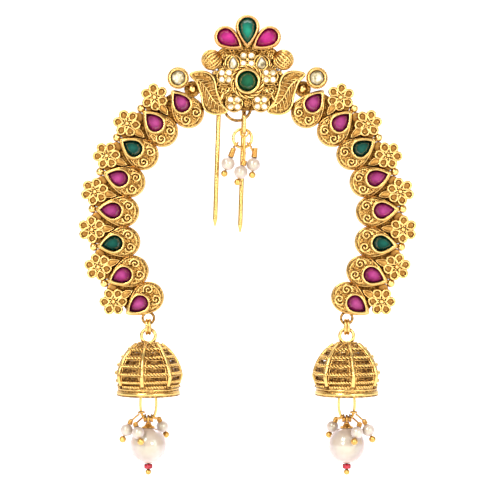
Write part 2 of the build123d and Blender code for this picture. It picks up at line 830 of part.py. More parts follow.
def bell(side):
    """Hollow bell with ribs, hoops and open slots, its eye ring above and a loop inside."""
    levels = chain_levels()
    shell = revolve(bell_section(), Axis.Z) - revolve(bell_section(bell_wall, 1.0), Axis.Z)
    rib_face = bell_section() - bell_section(bell_wall / 2, 1.0)
    rib_face = Pos(bell_rib_height, 0, 0) * rib_face
    pieces = [shell]
    sector = 360 / bell_ribs
    keep = Pos(0, 0, -bell_waist_share * bell_height / 2 - 0.6) * Cylinder(
        bell_radius + 1.0, bell_waist_share * bell_height
    )
    for index in range(bell_ribs):
        rib = revolve(rib_face, Axis.Z, revolution_arc=bell_rib_width)
        pieces.append((Rot(0, 0, index * sector - bell_rib_width / 2) * rib) & keep)
    dome_depth = bell_waist_share * bell_height
    pitch = dome_depth / (bell_slot_rows + 1.2)
    slots = []
    for row in range(bell_slot_rows + 1):
        depth = pitch * (0.7 + row)
        pieces.append(Pos(0, 0, -depth) * Torus(dome_radius(depth), bell_hoop_wire))
        if row < bell_slot_rows:
            height = pitch * bell_slot_share
            low = depth + (pitch - height) / 2
            face = Pos(bell_radius * 0.9, -low - height / 2) * Rectangle(bell_radius * 1.4, height)
            open_angle = sector - bell_rib_width - 2 * bell_slot_gap
            slot = revolve(Plane.XZ.location * face, Axis.Z, revolution_arc=open_angle)
            start = bell_rib_width / 2 + bell_slot_gap
            slots += [Rot(0, 0, start + k * sector) * slot for k in range(bell_ribs)]
    rope_depth = (bell_waist_share + bell_rim_share) / 2 * bell_height
    pieces.append(Pos(0, 0, -rope_depth) * Torus(bell_waist_radius + 0.1, bell_hoop_wire + 0.06))
    foot = Pos(0, 0, -bell_height + 0.3) * Torus(bell_rim_radius - 0.05, 0.3)
    pieces.append(foot)
    turned = Rot(0, 0, -90 + side * -bell_turn) * (fused(pieces) - slots)
    inner_loop = levels["pendant_hinge"] + inner_loop_radius
    stem_top = levels["bell_top"] - bell_wall / 2
    stem_end = inner_loop + inner_loop_radius
    hung = [
        Pos(0, 0, levels["bell_top"]) * turned,
        torus_on((0, 0, levels["eye"]), eye_radius, eye_wire),
        torus_on((0, 0, inner_loop), inner_loop_radius, inner_loop_wire, "side"),
        rod((0, 0, stem_top), (0, 0, stem_end), bell_stem),
    ]
    across, _ = arch_end()
    return Pos(side * across, -arch_loop_out, 0) * fused(hung)


def ring_wire_place(angle, middle, half_height, radius):
    """Point on an upright ring, the angle counted from its lowest point, left is minus.

    half_height is the straight half of a long ring's sides, nought on a round one."""
    across = radius * sin(radians(angle))
    up = -half_height - radius * cos(radians(angle))
    return middle[0] + across, middle[1], middle[2] + up


def knot(place, radius):
    """Ball on a hanging wire, with its poles and seam beside the wire."""
    return Pos(*place) * Rot(90, 0, 0) * Sphere(radius)


def head_pin(loop_place, loop_turn, pearl_place, point, pearl_size):
    """Wire loop, a bent shank through a pearl, a wrapped collar above it and a ball under it."""
    facing = Rot(0, loop_turn, 0) * Rot(0, 90, 0)
    loop = Pos(*loop_place) * facing * Torus(small_loop_radius, small_pin_wire)
    neck = shifted(pearl_place, point, -(pearl_size + bead_gap + collar_length))
    shoulder = shifted(pearl_place, point, -(pearl_size + bead_gap))
    towards = unit(tuple(n - p for n, p in zip(neck, loop_place)))
    start = shifted(loop_place, towards, small_loop_radius)
    ball_place = shifted(pearl_place, point, pearl_size + bead_gap + small_ball_radius)
    pieces = [
        loop,
        rod(start, neck, small_pin_wire),
        knot(neck, knot_radius),
        rod(neck, shoulder, collar_radius),
        rod(neck, ball_place, small_pin_wire),
        knot(ball_place, small_ball_radius),
    ]
    return fused(pieces)


def drilled_pearl(place, point, size, wire):
    """Round pearl with a hole along the way its pin points."""
    where = Plane(origin=place, z_dir=point).location
    return where * (Sphere(size) - Cylinder(wire + bead_gap, 3 * size))


def pendant():
    """Pieces of the pearl pendant under the right bell, by name."""
    levels = chain_levels()
    across, _ = arch_end()
    middle = (across, -arch_loop_out)
    pearl_place = (*middle, levels["pearl"])
    pieces = {}
    pieces["pendant_ring"] = oval_link(
        (*middle, levels["ring_top"]), pendant_ring_height, pendant_ring_width, pendant_ring_wire
    )
    pearl_top = levels["pearl"] + pearl_radius
    cap_base = pearl_top - cap_height * 0.6
    bead = levels["pearl"] - pearl_radius - bead_gap - red_bead_height / 2
    tip = bead - red_bead_height / 2 - bead_gap - tip_radius
    cap_top = pearl_top + bead_gap + cap_height
    loop_low = levels["ring_bottom"] - pin_loop_radius
    pin = [
        torus_on((*middle, levels["ring_bottom"]), pin_loop_radius, pin_wire, "side"),
        rod((*middle, loop_low), (*middle, tip), pin_wire),
        rod((*middle, loop_low - pin_wire / 2), (*middle, cap_top + bead_gap), pin_wire * 1.8),
        Pos(*middle, tip) * Sphere(tip_radius),
    ]
    pieces["pendant_pin"] = fused(pin)
    hole = Pos(*middle, levels["pearl"]) * Cylinder(pin_wire + bead_gap, 3 * pearl_radius)
    cap = Pos(*middle, (cap_base + cap_top) / 2) * Cone(
        cap_radius, cap_radius * 0.45, cap_top - cap_base
    )
    cap = cap - Pos(*pearl_place) * Sphere(pearl_radius + bead_gap) - hole
    pieces["pearl_cap"] = cap
    pieces["pearl"] = Pos(*pearl_place) * Sphere(pearl_radius) - hole
    disc = Cylinder(red_bead_radius, red_bead_height)
    disc = fillet(disc.edges().filter_by(GeomType.CIRCLE), red_bead_height * 0.3)
    pieces["red_bead"] = Pos(*middle, bead) * disc - hole
    half_straight = (pendant_ring_height - pendant_ring_width) / 2
    ring_middle = (*middle, (levels["ring_top"] + levels["ring_bottom"]) / 2)
    pins = []
    for name, loop_angle, x, out, up, point_x, point_out, point_up in PENDANT_PEARLS:
        place = (
            middle[0] + x * pearl_radius,
            middle[1] - out * pearl_radius,
            levels["pearl"] + up * pearl_radius,
        )
        point = unit((point_x, -point_out, point_up))
        loop_place = ring_wire_place(loop_angle, ring_middle, half_straight, pendant_ring_width / 2)
        pins.append(head_pin(loop_place, -loop_angle, place, point, small_pearl_radius))
        pieces[f"small_pearl_{name}"] = drilled_pearl(place, point, small_pearl_radius, small_pin_wire)
    pieces["small_pins"] = Compound(children=[pin.solid() for pin in pins])
    return pieces


def centre_drop():
    """Bail, ring, pins and pearls that hang under the crest, by name."""
    ring_across, ring_up = from_share(HANGER_MIDDLE)
    offset_across = bail_across - ring_across
    inside = hanger_radius - hanger_wire - wire_play - bail_wire
    depth = -hanger_out
    top = ring_up - sqrt(inside**2 - offset_across**2)
    low = top - bail_height
    bend = bail_depth / 2
    hung = (bail_across, depth, top)
    pieces = {"centre_bail": oval_link(hung, bail_height, bail_depth, bail_wire, "side")}
    ring_rise = bend - sqrt(bend**2 - drop_ring_back**2)
    ring_wire_up = low + bail_wire + wire_play + drop_ring_wire + ring_rise
    middle = (
        bail_across - drop_ring_aside,
        depth + drop_ring_back,
        ring_wire_up - sqrt(drop_ring_radius**2 - drop_ring_aside**2),
    )
    pieces["centre_ring"] = torus_on(middle, drop_ring_radius, drop_ring_wire)
    pins = []
    for name, loop_angle, x, out, up, point_x, point_out, point_up in DROP_PEARLS:
        place = (
            middle[0] + x * drop_ring_radius,
            depth - out * drop_ring_radius,
            middle[2] + up * drop_ring_radius,
        )
        point = unit((point_x, -point_out, point_up))
        if loop_angle is None:
            pins.append(long_pin(low, depth, place, point))
        else:
            loop_place = ring_wire_place(loop_angle, middle, 0.0, drop_ring_radius)
            pins.append(head_pin(loop_place, -loop_angle, place, point, drop_pearl_radius))
        pieces[f"centre_pearl_{name}"] = drilled_pearl(place, point, drop_pearl_radius, small_pin_wire)
    pieces["centre_pins"] = Compound(children=[pin.solid() for pin in pins])
    return pieces


def long_pin(bail_low, depth, pearl_place, point):
    """Head pin of the middle pearl: a loop on the bail and a bent shank before the ring."""
    front = depth - drop_loop_front
    bend = bail_depth / 2
    rise = bend - sqrt(bend**2 - drop_loop_front**2)
    play = drop_loop_radius - small_pin_wire - bail_wire - wire_play
    loop_up = bail_low + rise - play
    loop = torus_on((bail_across, front, loop_up), drop_loop_radius, small_pin_wire)
    neck = shifted(pearl_place, point, -(drop_pearl_radius + bead_gap + collar_length))
    shoulder = shifted(pearl_place, point, -(drop_pearl_radius + bead_gap))
    ball_place = shifted(pearl_place, point, drop_pearl_radius + bead_gap + small_ball_radius)
    knee = (bail_across, front, neck[2] + 2.0)
    top = (bail_across, front, loop_up - drop_loop_radius)
    pieces = [
        loop,
        rod(top, knee, small_pin_wire * 1.5),
        knot(knee, 2 * small_pin_wire),
        rod(knee, neck, small_pin_wire * 1.5),
        knot(neck, knot_radius),
        rod(neck, shoulder, collar_radius),
        rod(neck, ball_place, small_pin_wire),
        knot(ball_place, small_ball_radius),
    ]
    return fused(pieces)


def flat_work():
    """The soldered frame as one solid, and its stones by name."""
    crest, crest_pockets, stones = crest_pieces()
    lugs, bores = fork_lugs()
    frame = fused(crest).fuse(*lugs).fuse(hanger_ring())
    cuts = [bores, crest_pockets]
    for side, word in ((-1, "left"), (1, "right")):
        arm, arm_pockets, arm_stones = arm_pieces(side)
        frame = frame.fuse(fused(arm).fuse(arch_loop(side)))
        cuts.append(arm_pockets)
        for index, stone in enumerate(arm_stones):
            stones[f"{word}_arm_stone_{index + 1}"] = stone
    for tools in cuts:
        frame = frame.cut(*tools)
    return frame, stones


def write(name, shape):
    """Move a standing piece so that the fork's root is the origin, and write it."""
    export_step(Pos(0, 0, -root_height) * shape, f"parts/{name}.step")


def main():
    os.makedirs("parts", exist_ok=True)
    frame, stones = flat_work()
    write("arch_frame", stand_up(frame))
    write("hair_fork", stand_up(hair_fork()))
    for name, stone in stones.items():
        write(name, stand_up(stone))
    for name, piece in centre_drop().items():
        write(name, piece)
    for side, word in ((-1, "left"), (1, "right")):
        write(f"{word}_link", ear_link(side))
        write(f"{word}_bell", bell(side))
    for name, piece in pendant().items():
        write(f"right_{name}", piece)
        write(f"left_{name}", mirror(piece, about=Plane.YZ))
    levels = {name: round(height - root_height, 3) for name, height in chain_levels().items()}
    print("drop across", round(arch_end()[0], 3), "levels", levels)


main()
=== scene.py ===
import math
import random

import bpy
import numpy as np
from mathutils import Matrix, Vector

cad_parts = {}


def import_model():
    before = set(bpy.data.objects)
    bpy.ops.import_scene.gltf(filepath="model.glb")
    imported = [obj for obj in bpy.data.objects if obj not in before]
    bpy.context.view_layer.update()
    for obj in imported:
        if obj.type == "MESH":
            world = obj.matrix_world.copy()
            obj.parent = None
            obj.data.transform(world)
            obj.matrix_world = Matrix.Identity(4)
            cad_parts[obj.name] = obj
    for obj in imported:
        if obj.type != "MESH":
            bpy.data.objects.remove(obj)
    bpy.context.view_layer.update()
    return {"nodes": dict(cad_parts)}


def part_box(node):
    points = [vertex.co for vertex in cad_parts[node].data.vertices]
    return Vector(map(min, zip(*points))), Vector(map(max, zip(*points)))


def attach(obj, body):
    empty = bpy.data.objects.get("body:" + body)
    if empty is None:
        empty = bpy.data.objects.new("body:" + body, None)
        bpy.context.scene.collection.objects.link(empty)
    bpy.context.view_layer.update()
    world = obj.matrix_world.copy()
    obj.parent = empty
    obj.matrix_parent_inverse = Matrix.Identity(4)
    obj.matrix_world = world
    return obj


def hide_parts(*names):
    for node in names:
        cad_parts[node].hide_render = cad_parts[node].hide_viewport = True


# Looks of the hair bun brooch. Flat work is placed as in the CAD source: x across, y up from the
# arch's middle and z out towards the viewer, in millimetres, then turned into the row frame.

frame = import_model()
random.seed(7)

MM = 0.001
TIP_DOWN = np.array((1, -1, 1))     # turns an outline's tip downwards

# Arms, in millimetres and degrees
ROOT = 27.0                 # height of the row's origin above the arch's middle
ARCH = 30.0                 # radius of the circle through the arm stones
FIRST, PITCH, LOBES = 29.1, 14.0, 8     # from the top to the first lobe, from lobe to lobe
TILT = 8.0                  # the first lobe turns outwards by this
INSET = 1.3                 # the lobe's middle lies this far inside the circle of stones
FLOWERS = ARCH + 4.2        # circles through the flowers, wedges, tip balls and their webs
WEDGES = ARCH + 2.2
TIP_BALLS = ARCH + 4.25
WEBS = ARCH + 3.2
WEB_ANGLE = 2.9             # from the lobe's middle to the web on each side
FLOWER_SHARE = 0.54         # of the pitch, from a lobe to the flower after it
PETALS = 6
LOBE_GRAINS, WEDGE_GRAINS = 46, 26

# Heights above the back plane
BEZEL_TOP, BEZEL_FOOT, SMALL_BEZEL_TOP = 3.2, 2.5, 2.5
EDGE_BEADS = 2.35           # beaded edges and ropes round the large stones
CHIP_RIMS = 2.55
CURL_HEIGHT = 1.95

# Outlines, length and width, for leaves the half width
LOBE_RIM, LOBE_BEADING = (9.0, 6.35), (8.05, 5.4)
STONE_LIP, STONE_FOOT = (5.15, 3.9), (5.75, 4.5)
STONE_OUT = 0.07            # a stone's middle lies this far outside its circle
PETAL, FILLING = (1.95, 1.72), (2.0, 1.8)
PETAL_OUT, PETAL_FULLNESS = 1.88, 1.8
WEDGE, WEDGE_IN = (2.6, 1.45), 1.5
TOP_LIP, SIDE_LIP, HOOD_LIP = (6.3, 4.4), (6.0, 4.05), (3.1, 2.35)
BEADED_MARGIN = 0.65        # by which a crown stone's beaded edge is longer and wider than its lip
LEAF_RIM, LEAF_INNER, LEAF_SHEET = (11.3, 3.15), (9.9, 2.45), (11.0, 3.05)

# Wire radii: lips and petals, then the finer rims of bezels, wedges and discs
LIP_WIRE, FINE_WIRE = 0.27, 0.13

# Crest features: across and up as shares of the arch radius
LEAF_MIDDLE = (0.283, 0.945)
EMERALD_MIDDLE = (0.0, 1.027)
TOP_PEAR_MIDDLE = (0.0, 1.393)
SIDE_PEAR_MIDDLE = (0.134, 1.333)
SQUARE_FLOWER_MIDDLE = (0.0, 1.187)
HOOD_MIDDLE = (0.104, 1.163)
SHELL_MIDDLE = (0.262, 1.187)
DISC_MIDDLES = ((0.161, 1.065), (0.098, 0.868))
CRESCENT_MIDDLE = (0.33, 0.985)
LEAF_TURN, SIDE_PEAR_TURN, SHELL_TURN = 45.0, 57.0, 50.0
WHITE_OUTSET, WHITE_ANGLE = 5.0, 25.7
SIDE_BALL_OUTSET, SIDE_BALL_ANGLE = 1.7, 22.6
SHELL_OUT = 1.5
SQUARE_FLOWER_RING, DISC_RING = 1.2, 1.08
LEAF_RIB_HALF, LEAF_RIB_WAVE = 4.7, 0.42

# Leaf edge from tip to tip: along as a share of the length, across as a share of the half width
LEAF_EDGE = [
    # along, across
    (-0.500, 0.000),
    (-0.436, 0.511),
    (-0.327, 0.859),
    (-0.204, 1.000),
    (-0.073, 0.851),
    (0.045, 0.538),
    (0.170, 0.305),
    (0.309, 0.084),
    (0.500, 0.000),
]

# Granulated ovals, on both sides where they aren't in the middle
GRAIN_FIELDS = [
    # across, up (shares of the arch radius), half_width, half_height, height (millimetres)
    (0.155, 0.960, 1.7, 1.6, 1.72),
    (0.150, 1.230, 1.9, 1.3, 1.72),
    (0.0, 0.872, 0.8, 0.8, 1.87),
    (0.0, 1.27, 3.0, 1.2, 1.42),
    (0.22, 1.10, 1.2, 1.6, 1.42),
]

# Curls of fine wire on the crest's plate, on both sides
CURLS = [
    # across, up, radius (millimetres), start (degrees)
    (1.75, 38.35, 0.75, 200),
    (3.55, 37.75, 0.70, 30),
    (5.15, 36.35, 0.72, 120),
    (4.75, 34.65, 0.62, 250),
    (5.85, 33.75, 0.60, 0),
    (6.35, 30.45, 0.72, 60),
    (5.15, 28.85, 0.80, 170),
    (3.75, 29.05, 0.55, 300),
    (4.35, 27.15, 0.50, 90),
    (1.15, 27.35, 0.45, 220),
    (6.95, 32.75, 0.50, 300),
    (2.25, 27.95, 0.42, 140),
]

# Bells and pendants
DROP_X, CHAIN_OUT = 21.814, 0.9
BELL_TOP, BELL_HEIGHT = -53.568, 11.5
NECK, SHOULDER, BULGE, WAIST = 2.2, 5.244, 6.9, 6.25                  # radii of the bell
SHOULDER_DEPTH = 0.245 * BELL_HEIGHT
BULGE_DEPTH, WAIST_DEPTH = 0.63 * BELL_HEIGHT, 0.79 * BELL_HEIGHT
BELL_TURN = 8.0             # from the front to the first rib
RIBS, HOOPS = 7, 5
SECTOR = 360 / RIBS
HOOP_PITCH = WAIST_DEPTH / 5.2
OPEN_SLOTS = 0.3            # share of the slots without scrolls
EYE_RADIUS, EYE_WIRE = 1.54, 0.36
RING_WIRE, RING_HALF_WIDTH = 0.31, 1.74
RING_FULLNESS = 2.4         # 2 is an ellipse, more is squarer
PEARL_Z, PEARL_RADIUS = -76.048, 4.0
DROP_RING_RADIUS = 2.05

# Rims of the bell's foot
FOOT_RIMS = [
    # depth under the bell's top, radius, wire
    (9.92, 6.62, 0.20),
    (10.20, 6.60, 0.12),
    (10.86, 6.42, 0.62),
]

# Small pearls of the right pendant: place from the big pearl's middle as shares of its radius, and
# the way the pin points
SMALL_PEARLS = [
    # across, out, up, point_across, point_out, point_up
    (1.16, 0.38, 0.87, 0.40, 0.10, -0.90),
    (0.50, 0.98, 0.80, -0.30, 0.45, -0.84),
    (-0.72, -0.95, 0.92, -0.35, -0.35, -0.87),
]

# Pearls of the centre drop: place from its ring's middle as shares of the ring's radius, the way
# the pin points, and how far above the pearl's middle the coil starts
DROP_PEARLS = [
    # name, across, up, point_across, point_up, coil_start
    ("left", -1.56, -2.74, -0.35, -0.94, 3.6),
    ("middle", -0.18, -3.66, -0.31, -0.95, 2.6),
    ("right", 1.17, -2.83, -0.11, -0.99, 3.6),
]

# Studio, in metres and watts
FLOOR = -0.0875
LIGHT_TARGET = (0, 0, -0.03)
LIGHTS = [
    # name, place, size, power
    ("key", (-0.25, -0.45, 0.40), (0.22, 0.22), 1.8),
    ("fill", (0.45, -0.40, 0.10), (0.20, 0.45), 0.75),
    ("front_left", (-0.20, -0.42, 0.07), (0.10, 0.12), 0.55),
    ("front_right", (0.20, -0.42, 0.07), (0.10, 0.12), 0.55),
    ("top", (0.0, 0.05, 0.5), (0.5, 0.3), 1.3),
    ("rim", (0.05, 0.35, 0.3), (0.4, 0.2), 0.8),
]
PHOTO_PIXELS, MM_PER_PIXEL = 488, 0.2193


# Points


def arr(points):
    """Points as rows of x, y, z."""
    return np.array(points, float).reshape(-1, 3)


def row(points):
    """Flat work to the row frame, in metres."""
    p = arr(points)
    return np.stack([p[:, 0], -p[:, 2], p[:, 1] - ROOT], axis=1) * MM


def standing(points):
    """Millimetres of the row frame to metres."""
    return arr(points) * MM


def lifted(points, height):
    """Flat points moved towards the viewer."""
    return arr(points) + np.array((0, 0, height))


def turned(points, degrees_turn, shift=(0, 0, 0)):
    """Points turned about z, then shifted."""
    p = arr(points)
    a = math.radians(degrees_turn)
    x = p[:, 0] * math.cos(a) - p[:, 1] * math.sin(a)
    y = p[:, 0] * math.sin(a) + p[:, 1] * math.cos(a)
    return np.stack([x, y, p[:, 2]], axis=1) + np.array(shift, float)


def polar(radius, angle):
    """Point round the arch, the angle from its top."""
    return radius * math.sin(math.radians(angle)), radius * math.cos(math.radians(angle))


def on_arch(points, radius, angle, turn=0.0):
    """Points placed on the arch, the local y axis outwards."""
    x, y = polar(radius, angle)
    return turned(points, -angle - turn, (x, y, 0))


def on_crest(middle, side=1):
    """Place of a crest feature from its shares of the arch radius."""
    return side * middle[0] * ARCH, middle[1] * ARCH


def middle_of(node):
    """Middle of a CAD node's box, in millimetres."""
    low, high = (arr(corner)[0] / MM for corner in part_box(node))
    return (low + high) / 2


def unit(v):
    """The same way, with length 1."""
    v = np.array(v, float)
    return v / np.linalg.norm(v)


# Meshes


class Pile:
    """Many small shapes gathered into one mesh."""

    def __init__(self):
        self.points, self.faces, self.count = [], [], 0

    def add(self, points, faces):
        """Points in metres, and faces of four that number these points from 0."""
        self.points.append(points)
        self.faces.append(faces + self.count)
        self.count += len(points)

    def tube(self, path, radius, sides=8, closed=False, change=row):
        """Round wire along a line of points; radius is one size or one for each point."""
        p = arr(path)
        n = len(p)
        ahead = np.roll(p, -1, axis=0) - np.roll(p, 1, axis=0)
        if not closed:
            ahead[0], ahead[-1] = p[1] - p[0], p[-1] - p[-2]
        ahead /= np.maximum(np.linalg.norm(ahead, axis=1), 1e-9)[:, None]
        side = np.zeros_like(p)
        first = np.cross(ahead[0], (0, 0, 1) if abs(ahead[0][2]) < 0.9 else (1, 0, 0))
        side[0] = first / np.linalg.norm(first)
        for i in range(1, n):
            s = side[i - 1] - ahead[i] * np.dot(side[i - 1], ahead[i])
            side[i] = s / max(np.linalg.norm(s), 1e-9)
        other = np.cross(ahead, side)
        radii = np.broadcast_to(np.array(radius, float), (n,))
        turns = np.arange(sides) * 2 * math.pi / sides
        ring = (
            side[:, None, :] * np.cos(turns)[None, :, None]
            + other[:, None, :] * np.sin(turns)[None, :, None]
        )
        points = p[:, None, :] + ring * radii[:, None, None]
        spans = n if closed else n - 1
        faces = []
        for i in range(spans):
            j = (i + 1) % n
            for k in range(sides):
                m = (k + 1) % sides
                faces.append((i * sides + k, i * sides + m, j * sides + m, j * sides + k))
        self.add(change(points.reshape(-1, 3)), np.array(faces))

    def beads(self, places, size, change=row, detail=2):
        """Small balls at a list of places."""
        points, faces = BALLS[detail]
        for place in arr(places):
            self.add(change(points * size + place), faces)

    def plate(self, outline, low, high, crown=0.0):
        """Filled outline with a softened edge; the crown is how far its middle stands up."""
        flat = arr(outline)
        middle = flat.mean(axis=0)
        n = len(flat)
        top = high + crown
        rings = [(1.0, low), (1.0, high - 0.12), (0.9, high), (0.5, top), (0.02, top)]
        points = []
        for share, height in rings:
            ring = middle + (flat - middle) * share
            ring[:, 2] = height
            points.append(ring)
        self.add(row(np.concatenate(points)), ring_faces(len(rings), n))

    def make(self, name, body, material, slot, smooth=True):
        """Mesh object of the whole pile, riding on a body of the CAD."""
        mesh = bpy.data.meshes.new(name)
        points = np.concatenate(self.points)
        faces = np.concatenate(self.faces)
        mesh.vertices.add(len(points))
        mesh.vertices.foreach_set("co", points.astype(np.float32).ravel())
        mesh.loops.add(faces.size)
        mesh.loops.foreach_set("vertex_index", faces.astype(np.int32).ravel())
        mesh.polygons.add(len(faces))
        mesh.polygons.foreach_set("loop_start", np.arange(0, faces.size, 4, dtype=np.int32))
        mesh.polygons.foreach_set("use_smooth", np.full(len(faces), smooth))
        mesh.update(calc_edges=True)
        mesh.validate()
        piece = bpy.data.objects.new(name, mesh)
        bpy.context.scene.collection.objects.link(piece)
        mesh.materials.append(material)
        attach(piece, body)
        return piece


def ring_faces(rings, n):
    """Faces between rings of n points that follow each other."""
    steps = np.arange(n)
    after = (steps + 1) % n
    return np.concatenate(
        [
            np.stack([k * n + steps, k * n + after, (k + 1) * n + after, (k + 1) * n + steps], axis=1)
            for k in range(rings - 1)
        ]
    )


def grid_faces(rows, columns, start=0):
    """Faces of a grid of points."""
    faces = []
    for i in range(rows - 1):
        for j in range(columns - 1):
            a = start + i * columns + j
            faces.append((a, a + columns, a + columns + 1, a + 1))
    return faces


def ball_mesh(steps):
    """Ball of quads, from a cube's six sides."""
    points, faces = [], []
    line = np.tan(np.linspace(-math.pi / 4, math.pi / 4, steps + 1))
    for axis in range(3):
        for sign in (-1, 1):
            faces += grid_faces(steps + 1, steps + 1, len(points))
            for u in line:
                for v in line:
                    p = [0, 0, 0]
                    p[axis], p[(axis + 1) % 3], p[(axis + 2) % 3] = sign, u * sign, v
                    points.append(unit(p))
    return np.array(points), np.array(faces)


BALLS = {steps: ball_mesh(steps) for steps in (2, 3, 5)}


# Lines and outlines


def circle(middle, radius, count=32, start=0.0, sweep=360.0):
    """Points round a circle in the drawing's plane."""
    full = sweep >= 360.0
    angles = np.radians(start + np.linspace(0, sweep, count, endpoint=not full))
    x, y, z = middle
    return np.stack(
        [x + radius * np.cos(angles), y + radius * np.sin(angles), np.full(count, z)], axis=1
    )


def pear(length, width, count=40, fullness=1.2):
    """Pear outline, tip up, centred on its length."""
    end = width / 2
    end_y = end - length / 2
    reach = length / 2 - end_y
    side = fullness * length
    drop = (reach**2 + (side - end) ** 2 - side**2) / (2 * reach)
    inset = math.sqrt((side - end) ** 2 - drop**2)
    meet = (inset * end / (side - end), end_y - drop * end / (side - end))
    cx, cy = -inset, end_y + drop
    tip_angle = math.atan2(length / 2 - cy, -cx)
    meet_angle = math.atan2(meet[1] - cy, meet[0] - cx)
    right = []
    for t in np.linspace(0, 1, count // 4, endpoint=False):
        a = tip_angle + t * (meet_angle - tip_angle)
        right.append((cx + side * math.cos(a), cy + side * math.sin(a), 0))
    low = math.atan2(meet[1] - end_y, meet[0])
    for t in np.linspace(0, 1, count // 4 + 1):
        a = low + t * (-math.pi / 2 - low)
        right.append((end * math.cos(a), end_y + end * math.sin(a), 0))
    left = [(-x, y, z) for x, y, z in reversed(right[1:-1])]
    return arr(right + left)


def rope(middle_line, radius, strands, turns):
    """Strands twisted round a closed line of points, as one list of lines."""
    p = arr(middle_line)
    n = len(p)
    ahead = np.roll(p, -1, axis=0) - np.roll(p, 1, axis=0)
    ahead /= np.linalg.norm(ahead, axis=1)[:, None]
    out = p - p.mean(axis=0)
    out -= ahead * np.sum(out * ahead, axis=1)[:, None]
    out /= np.linalg.norm(out, axis=1)[:, None]
    up = np.cross(ahead, out)
    lines = []
    for k in range(strands):
        a = 2 * math.pi * (turns * np.arange(n) / n + k / strands)
        lines.append(p + radius * (np.cos(a)[:, None] * out + np.sin(a)[:, None] * up))
    return lines


def spiral(middle, start_radius, end_radius, start, sweep, height, count):
    """Flat scroll from its outer end inwards."""
    t = np.linspace(0, 1, count)
    a = np.radians(start + sweep * t)
    r = start_radius + (end_radius - start_radius) * t
    return np.stack(
        [middle[0] + r * np.cos(a), middle[1] + r * np.sin(a), np.full(count, height)], axis=1
    )


def coil(pile, start, end, radius, wire, turns, widening=1.0):
    """Wire wound round a straight line; the last turn is wider by a share."""
    start, end = np.array(start, float), np.array(end, float)
    length = np.linalg.norm(end - start)
    axis = (end - start) / length
    side = unit(np.cross(axis, (0, 1, 0) if abs(axis[1]) < 0.9 else (1, 0, 0)))
    other = np.cross(axis, side)
    t = np.linspace(0, 1, int(turns * 12))
    a = 2 * math.pi * turns * t
    r = radius * (1 + (widening - 1) * t)
    line = (
        start
        + axis * (length * t)[:, None]
        + (r * np.cos(a))[:, None] * side
        + (r * np.sin(a))[:, None] * other
    )
    pile.tube(line, wire, 6, change=standing)


# Materials


def nodes_of(name):
    """New material, its node tree and its shader."""
    material = bpy.data.materials.new(name)
    material.use_nodes = True
    tree = material.node_tree
    return material, tree, tree.nodes["Principled BSDF"]


def ramp(tree, source, stops):
    """Colours at places between 0 and 1."""
    node = tree.nodes.new("ShaderNodeValToRGB")
    while len(node.color_ramp.elements) < len(stops):
        node.color_ramp.elements.new(0.5)
    for element, (place, colour) in zip(node.color_ramp.elements, stops):
        element.position = place
        element.color = (*colour, 1.0)
    tree.links.new(source, node.inputs["Fac"])
    return node.outputs["Color"]


def noise(tree, scale, detail=4.0, roughness=0.6):
    """Clouds in the object's own space; the scale counts them in a metre."""
    node = tree.nodes.new("ShaderNodeTexNoise")
    place = tree.nodes.new("ShaderNodeTexCoord")
    tree.links.new(place.outputs["Object"], node.inputs["Vector"])
    node.inputs["Scale"].default_value = scale
    node.inputs["Detail"].default_value = detail
    node.inputs["Roughness"].default_value = roughness
    return node.outputs["Fac"]


def mixed(tree, factor, first, second, mode="MIX"):
    """Two colours mixed; each input is a value or a socket."""
    node = tree.nodes.new("ShaderNodeMix")
    node.data_type = "RGBA"
    node.blend_type = mode
    for place, value in ((0, factor), (6, first), (7, second)):
        if isinstance(value, bpy.types.NodeSocket):
            tree.links.new(value, node.inputs[place])
        else:
            node.inputs[place].default_value = value
    return node.outputs[2]


def bumped(tree, shader, source, strength, distance):
    """Relief in the shader's normal."""
    bump = tree.nodes.new("ShaderNodeBump")
    bump.inputs["Strength"].default_value = strength
    bump.inputs["Distance"].default_value = distance
    tree.links.new(source, bump.inputs["Height"])
    tree.links.new(bump.outputs["Normal"], shader.inputs["Normal"])


def stippled(tree, per_metre, plain_back):
    """Bright granules with painted shade in the dark pits between them, fainter at the back where
    that is plain.
    """
    cells = tree.nodes.new("ShaderNodeTexVoronoi")
    place = tree.nodes.new("ShaderNodeTexCoord")
    tree.links.new(place.outputs["Object"], cells.inputs["Vector"])
    cells.inputs["Scale"].default_value = per_metre
    cells.inputs["Randomness"].default_value = 0.75
    # painted shade: the pits between the granules are darkened towards brown-black
    painted_pit_shade = (0.11, 0.055, 0.025)
    pits = ramp(tree, cells.outputs["Distance"], [(0.28, (1, 1, 1)), (0.64, painted_pit_shade)])
    if plain_back:
        ways = tree.nodes.new("ShaderNodeSeparateXYZ")
        tree.links.new(place.outputs["Normal"], ways.inputs["Vector"])
        behind = ramp(tree, ways.outputs["Y"], [(0.45, (0, 0, 0)), (0.75, (0.62, 0.62, 0.62))])
        pits = mixed(tree, behind, pits, (1, 1, 1, 1))
    return pits


